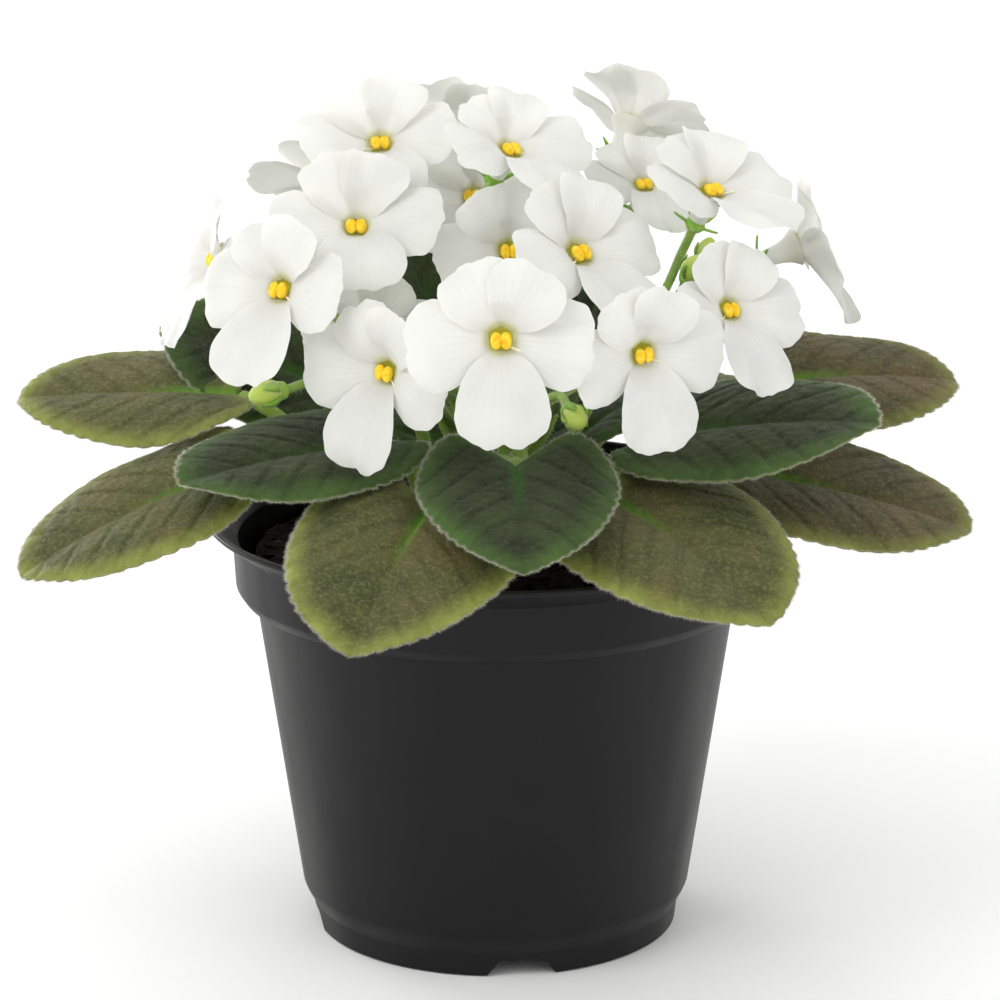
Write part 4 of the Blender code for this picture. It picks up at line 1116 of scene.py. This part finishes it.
# the rim passes through the same points as the solid's, on a smooth curve with small dents
def petalOutline(length, width, rng):
    root = petalBuild["throat"] - 0.6
    half = [(0.14, 0), (0.33, 0.12), (0.46, 0.3), (0.54, 0.5), (0.55, 0.68), (0.48, 0.85), (0.31, 0.95),
            (0.14, 0.99)]
    right = [Vector((x * width, root + share * (length - root), 0)) for x, share in half]
    left = [Vector((-p.x, p.y, 0)) for p in reversed(right)]
    tip = Vector((0, length * rng.choice((0.965, 0.985, 1.0)), 0))
    path = smoothPath(right + [tip] + left, 90)
    phase, dents = rng.uniform(0, 6.28), rng.uniform(4, 7)
    out = []
    for i, p in enumerate(path):
        share = math.sin(math.pi * i / (len(path) - 1))
        dent = 0.22 * share * math.sin(dents * 2 * math.pi * i / len(path) + phase)
        dent += 0.1 * share * math.sin(2.7 * dents * 2 * math.pi * i / len(path) + 2 * phase)
        way = Vector((p.x, p.y - 0.5 * length, 0)).normalized()
        p = p + way * dent
        out.append((p.x * mm, p.y * mm))
    return out


def petalSurface(petal, swing, length, width, cup, phase, rng):
    b = petalBuild
    tipLift, fold = rng.uniform(*b["tipLift"]), rng.uniform(*b["fold"])
    foldTurns, foldStart = rng.uniform(0.9, 1.6), rng.uniform(0, 6.28)
    pillow = rng.uniform(*b["pillow"])

    def surface(px, py):
        across, along = px / mm, py / mm
        x = across * math.cos(swing) - along * math.sin(swing)
        y = across * math.sin(swing) + along * math.cos(swing)
        reach = math.hypot(x, y)
        out, up = faceHeight(reach, cup)
        openShare = min(1, max(0, reach - b["layerStart"]) / b["layerFull"])
        up += petal["layer"] * b["layerStep"] * openShare
        up += petal["curl"] * width * (2 * across / width) ** 2 * openShare
        round9 = 9 * math.atan2(x, y) + phase
        up += b["ruffle"] * (reach / b["reach"]) ** 2 * math.sin(round9)
        up += b["frill"] * (reach / b["reach"]) ** 5 * math.sin(2.3 * round9 + 1)
        middle = math.sin(math.pi * min(1, max(0, along / length)))
        up += pillow * max(0, 1 - (2 * across / width) ** 2) * middle
        up += tipLift * max(0, along / length - 0.45) ** 2 * 3.3
        folds = math.sin(2 * math.pi * foldTurns * across / width + foldStart)
        up += fold * (reach / b["reach"]) ** 2 * folds
        return Vector((x * out / reach, y * out / reach, up)) * mm

    return surface


def flowerFrame(spec):
    turn = Matrix.Rotation(math.radians(spec["face"]), 4, "Z")
    tilt = Matrix.Rotation(math.radians(90 - spec["tilt"]), 4, "X")
    spin = Matrix.Rotation(math.radians(spec["spin"]), 4, "Z")
    return Matrix.Translation(Vector(spec["eye"]) * mm) @ turn @ tilt @ spin @ Matrix.Scale(spec["size"], 4)


def petalRelief(phase):
    def relief(x, y, edge):
        across, along = x / mm, y / mm
        fold = 0.05 * math.cos(7 * across / max(3, along) * 2 + phase) * math.exp(-((along - 9) / 6) ** 2)
        soft = 0.08 * noise.noise(Vector((across / 4, along / 4, phase)))
        return (fold + soft) * mm, -(fold + soft) * mm

    return relief


def buildPetals(seed, name, spec):
    b = petalBuild
    rng = random.Random(seed)  # the same draws as the solid's, in the same order
    shape = random.Random(500 + seed)
    matrix = flowerFrame(spec)
    cup = spec["cup"]
    batch = Batch()
    phase = rng.uniform(0, 2 * math.pi)
    for petal in petals:
        length = petal["length"] * rng.uniform(0.96, 1.04)
        width = petal["width"] * rng.uniform(0.96, 1.04)
        swing = math.radians(petal["angle"] + rng.uniform(-4, 4))
        outline = petalOutline(length, width, shape)
        surface = petalSurface(petal, swing, length, width, cup, phase, shape)
        sheet = tissueSheet(outline, (0, 0.55 * length * mm), b["spacing"] * mm, surface,
                            b["thickness"] * mm, petalRelief(shape.uniform(0, 6.28)), 1.0 * mm)
        mapSpan, rimSpan, reach = b["mapSpan"] * mm, b["rimSpan"] * mm, b["reach"] * mm
        where = [(0.5 + p.x / mapSpan, p.y / mapSpan) for p in sheet["spots"]]
        rim = [(min(1, e / rimSpan), p.length / reach) for e, p in zip(sheet["edges"], sheet["spots"])]
        batch.add(placed(matrix, sheet["points"]), sheet["top"] + sheet["bottom"], 0, where, rim)
    inside, outside = b["throat"] - 0.7, b["throat"] + 1.2
    high = [(0, 0.5), (0.9, 0.52), (1.6, 0.6)]
    for reach, tall in ((inside, 0.25), (inside, 0.42), (inside + 0.7, 0.36), (outside - 0.4, 0.1),
                        (outside, -0.2)):
        high.append([reach, faceHeight(reach, cup)[1] + tall])
    high[3][0], high[4][0] = inside - 0.25, inside + 0.15
    high += [
        (2.9, 0.2), (2.3, -1.6), (2.0, -3.6), (1.9, -b["tube"]), (0, -b["tube"]),
    ]
    points, faces = lathe(high, 30)
    tints = [0.03, 0.04, 0.07, 0.09, 0.11, 0.14, 0.17, 0.2] + [0.21] * 5  # one for each point of the profile
    rim = [(0, tints[0])] + [(0, tint) for tint in tints[1:-1] for _ in range(30)] + [(0, tints[-1])]
    where = [(0.5, 0.1)] * len(points)
    batch.add(placed(matrix, points), faces, 0, where, rim)
    batch.piece("corolla_" + name, [petalWhite], "petals_" + name, sharp=70)


antherBuild = {"radius": 1.1, "spread": 0.95, "height": 3.1, "styleRadius": 0.18}


def buildAnthers(seed, name, spec):
    b = antherBuild
    rng = random.Random(900 + seed)
    matrix = flowerFrame(spec)
    batch = Batch()
    for side in (-1, 1):
        work = bmesh.new()
        bmesh.ops.create_icosphere(work, subdivisions=4, radius=1)
        points = []
        for vert in work.verts:
            co = vert.co.copy()
            # a furrow runs down each lobe, and the two ends pull in a little
            furrow = 0.16 * math.exp(-((co.x * 3.2) ** 2)) * max(0, co.z)
            dent = 0.05 * noise.noise(co * 3 + Vector((seed, side, 0)))
            co *= 1 - furrow + dent
            lobe = Vector((co.x + side * b["spread"] / b["radius"], co.y * 1.5 - 0.36, co.z * 0.9))
            points.append(lobe * b["radius"] * mm + Vector((0, 0, b["height"] * mm)))
        faces = [tuple(v.index for v in face.verts) for face in work.faces]
        work.free()
        batch.add(placed(matrix, points), faces, 0)
    path = [Vector((0, 0, 0.4)) * mm, Vector((0, -0.2, 1.5)) * mm, Vector((0, -0.3, 2.7)) * mm]
    points, faces = stem(smoothPath(path, 8), [0.62 * mm] * 8, 10)
    batch.add(placed(matrix, points), faces, 1)
    lean = rng.choice((-1, 1, 1, 1))
    route = ((0.2, -0.5, 1.2), (1.7, -1.5, 2.4), (2.8, -2.0, 3.1), (3.8, -2.4, 3.5))
    path = smoothPath([Vector((x * lean, y, z)) * mm for x, y, z in route], 14)
    radii = [b["styleRadius"] * mm * (1 if k < 12 else 1.5) for k in range(14)]
    points, faces = stem(path, radii, 8)
    batch.add(placed(matrix, points), faces, 1)
    batch.piece("antherPair_" + name, [pollenYellow, styleCream], "anthers_" + name)


for seed, (name, spec) in enumerate(flowers.items()):
    buildPetals(seed, name, spec)
    buildAnthers(seed, name, spec)
print("flowers ready")


stalks = {
    "stalk_left": {
        "root": (-82, 95), "fork": (-96, 21, 125),
        "flowers": {"far_left": None, "upper_left": None, "upper_left_back": None},
        "buds": (((-49, -30, 120), -60, -4, 1.0),),
    },
    "stalk_front": {
        "root": (-22, 95), "fork": (-16, 22, 118),
        "flowers": {"front_middle": None, "front_left": None, "low_left_deep": None,
                    "left": (-20, -26.5, 126)},
        "buds": (((17, -40, 117), 20, -10, 0.9),),
    },
    "stalk_middle": {
        "root": (24, 95), "fork": (20, 9, 132),
        "flowers": {"middle": None, "top_middle": (7, -8, 146)},
        "buds": (),
    },
    "stalk_right": {
        "root": (84, 95), "fork": (70, 24, 120),
        "flowers": {"right": None, "front_right": None, "far_right": None, "upper_right": (33, -13, 136),
                    "middle_right": (17, -25, 131)},
        "buds": (((41, -14, 145), 30, 50, 0.9), ((44, 0, 146), 80, 70, 0.8)),
    },
    "stalk_back": {
        "root": (172, 95), "fork": (172, 18, 128),
        "flowers": {"top_right_back": (13, 26, 142), "upper_right_deep": None, "top_back": None,
                    "top_left": None, "middle_deep": None},
        "buds": (((12, 44, 146), 170, 40, 0.9),),
    },
}
stalkBuild = {
    "radius": 1.6, "taper": 0.04, "pedicel": 0.95, "sag": 0.06, "budStart": 5, "gap": 0.3,
    "sepals": 5, "sepalReach": 5.3, "hairLength": 0.8, "hairRadius": 0.028, "hairsPerMm": 5,
}


def sepalBlade(matrix, turn):
    rows = ((0.8, 0.72, -1.5), (1.9, 0.78, -1.05), (3.0, 0.7, -0.62), (4.0, 0.5, -0.2), (4.8, 0.26, 0.18),
            (stalkBuild["sepalReach"], 0.03, 0.42))
    spin = Matrix.Rotation(turn, 4, "Z")
    points, faces = [], []
    for reach, half, up in rows:
        for side, lift in ((-1, 0.12), (0, 0.34), (1, 0.12), (0, -0.26)):
            points.append(Vector((side * half, reach, up + lift * (1 if half > 0.1 else 0.2))) * mm)
    for r in range(len(rows) - 1):
        for k in range(4):
            j = (k + 1) % 4
            faces.append((r * 4 + k, r * 4 + j, r * 4 + 4 + j, r * 4 + 4 + k))
    faces.append((3, 2, 1, 0))
    last = 4 * (len(rows) - 1)
    faces.append((last, last + 1, last + 2, last + 3))
    return placed(matrix @ spin, points), [face[::-1] for face in faces]


def addCalyx(batch, matrix):
    profile = [(0, 0), (1.5, -0.15), (2.05, -0.8), (2.15, -1.2), (1.75, -2.0), (1.2, -2.6), (0.8, -2.8),
               (0, -2.8)]
    points, faces = lathe(profile, 20)
    batch.add(placed(matrix, points), faces, 1)
    for k in range(stalkBuild["sepals"]):
        turn = 2 * math.pi * k / stalkBuild["sepals"] - math.pi / 2
        batch.add(*sepalBlade(matrix, turn), 1)


# a bud's sepals lie along it
def budSepals(batch, matrix, size):
    rows = ((1.6, 0.8, -6.6), (2.45, 1.15, -5.9), (3.0, 1.2, -4.9), (3.2, 0.95, -3.9), (3.1, 0.6, -3.0),
            (2.9, 0.08, -2.2))
    for k in range(stalkBuild["sepals"]):
        spin = Matrix.Rotation(2 * math.pi * (k + 0.3) / stalkBuild["sepals"], 4, "Z")
        points, faces = [], []
        for reach, half, up in rows:
            for side, lift in ((-1, -0.25), (0, 0.12), (1, -0.25), (0, -0.35)):
                points.append(Vector((side * half, reach + lift, up)) * size * mm)
        for r in range(len(rows) - 1):
            for c in range(4):
                j = (c + 1) % 4
                faces.append((r * 4 + c, r * 4 + 4 + c, r * 4 + 4 + j, r * 4 + j))
        faces.append((0, 1, 2, 3))
        last = 4 * (len(rows) - 1)
        faces.append((last + 3, last + 2, last + 1, last))
        batch.add(placed(matrix @ spin, points), [face[::-1] for face in faces], 1)


def aimed(place, face, tilt):
    turn = Matrix.Rotation(math.radians(face), 4, "Z")
    return Matrix.Translation(place) @ turn @ Matrix.Rotation(math.radians(90 - tilt), 4, "X")


def addStem(batch, path, radii, sides, rng):
    b = stalkBuild
    points, faces = stem(path, radii, sides)
    batch.add(points, faces, 0)
    length = sum((q - p).length for p, q in zip(path, path[1:])) / mm
    count = int(length * b["hairsPerMm"])
    addHairs(batch, stemHairs(path, radii, rng, count, b["hairLength"] * mm, b["hairRadius"] * mm), 3)


def pedicelPath(fork, matrix, via):
    foot = matrix @ Vector((0, 0, -2.4 * mm))
    behind = matrix @ Vector((0, 0, -9 * mm))
    sag = Vector((0, 0, -stalkBuild["sag"] * (fork - behind).length))
    middle = Vector(via) * mm if via else (fork + behind) / 2 + sag
    return smoothPath([fork, middle, behind, foot], 24)


def budBody(matrix, size, rng):
    rows = [(0, 0), (0.9, -0.35), (1.7, -1.2), (2.35, -2.4), (2.75, -3.6), (2.8, -4.4), (2.6, -5.4),
            (2.2, -6.3), (1.2, -6.9), (0, -7)]
    twist = rng.uniform(0.1, 0.2)

    def folded(p):
        turn = math.atan2(p.y, p.x)
        wrap = abs(math.sin(2.5 * turn + twist * p.z / mm * 3))
        return p - Vector((p.x, p.y, 0)) * 0.09 * (1 - wrap) ** 3

    return lathe([(r * size, z * size) for r, z in rows], 36, folded)


def buildStalk(seed, name, spec):
    b = stalkBuild
    rng = random.Random(300 + seed)
    batch = Batch()
    compass, height = spec["root"]
    root = outFromAxis(compass, leafBuild["crownRadius"] + 1.6 * b["gap"], height)
    start = outFromAxis(compass, leafBuild["crownRadius"] + 2.6, height + 0.4)
    bend = outFromAxis(compass, leafBuild["crownRadius"] + 5.5, height + 4.5)
    fork = outFromAxis(*spec["fork"])
    path = [root] + smoothPath([start, bend, fork], 22)
    radii = []
    for i in range(len(path)):
        radii.append(b["radius"] * (1 - b["taper"] * (1 + 5 * (i - 1) / 21 if i else 0)) * mm)
    addStem(batch, path, radii, 12, rng)
    for flower, via in spec["flowers"].items():
        size = flowers[flower]["size"]
        matrix = flowerFrame(flowers[flower]) @ Matrix.Scale(1 / size, 4)
        matrix = matrix @ Matrix.Translation((0, 0, (-petalBuild["tube"] * size - 1.3 * b["gap"]) * mm))
        addCalyx(batch, matrix)
        addStem(batch, pedicelPath(fork, matrix, via), [b["pedicel"] * mm] * 24, 10, rng)
    budFoot = smoothPath([start, bend, fork], 6)[b["budStart"] - 1]
    for tip, face, tilt, size in spec["buds"]:
        matrix = aimed(Vector(tip) * mm, face, tilt)
        points, faces = budBody(matrix, size, rng)
        batch.add(placed(matrix, points), [f[::-1] for f in faces], 2)
        foot = matrix @ Matrix.Translation((0, 0, -6 * size * mm))
        budSepals(batch, matrix, size)
        cup = ((0, 0), (1.5, -0.15), (2.05, -0.8), (1.75, -2.0), (0.8, -2.8), (0, -2.8))
        points, faces = lathe(cup, 20)
        batch.add(placed(foot, points), faces, 1)
        addStem(batch, pedicelPath(budFoot, foot, None), [b["pedicel"] * mm] * 24, 10, rng)
    batch.piece("flowering_" + name, [stalkGreen, sepalGreen, budGreen, paleHair], name)


for seed, (name, spec) in enumerate(stalks.items()):
    buildStalk(seed, name, spec)
print("flower stalks and buds ready")
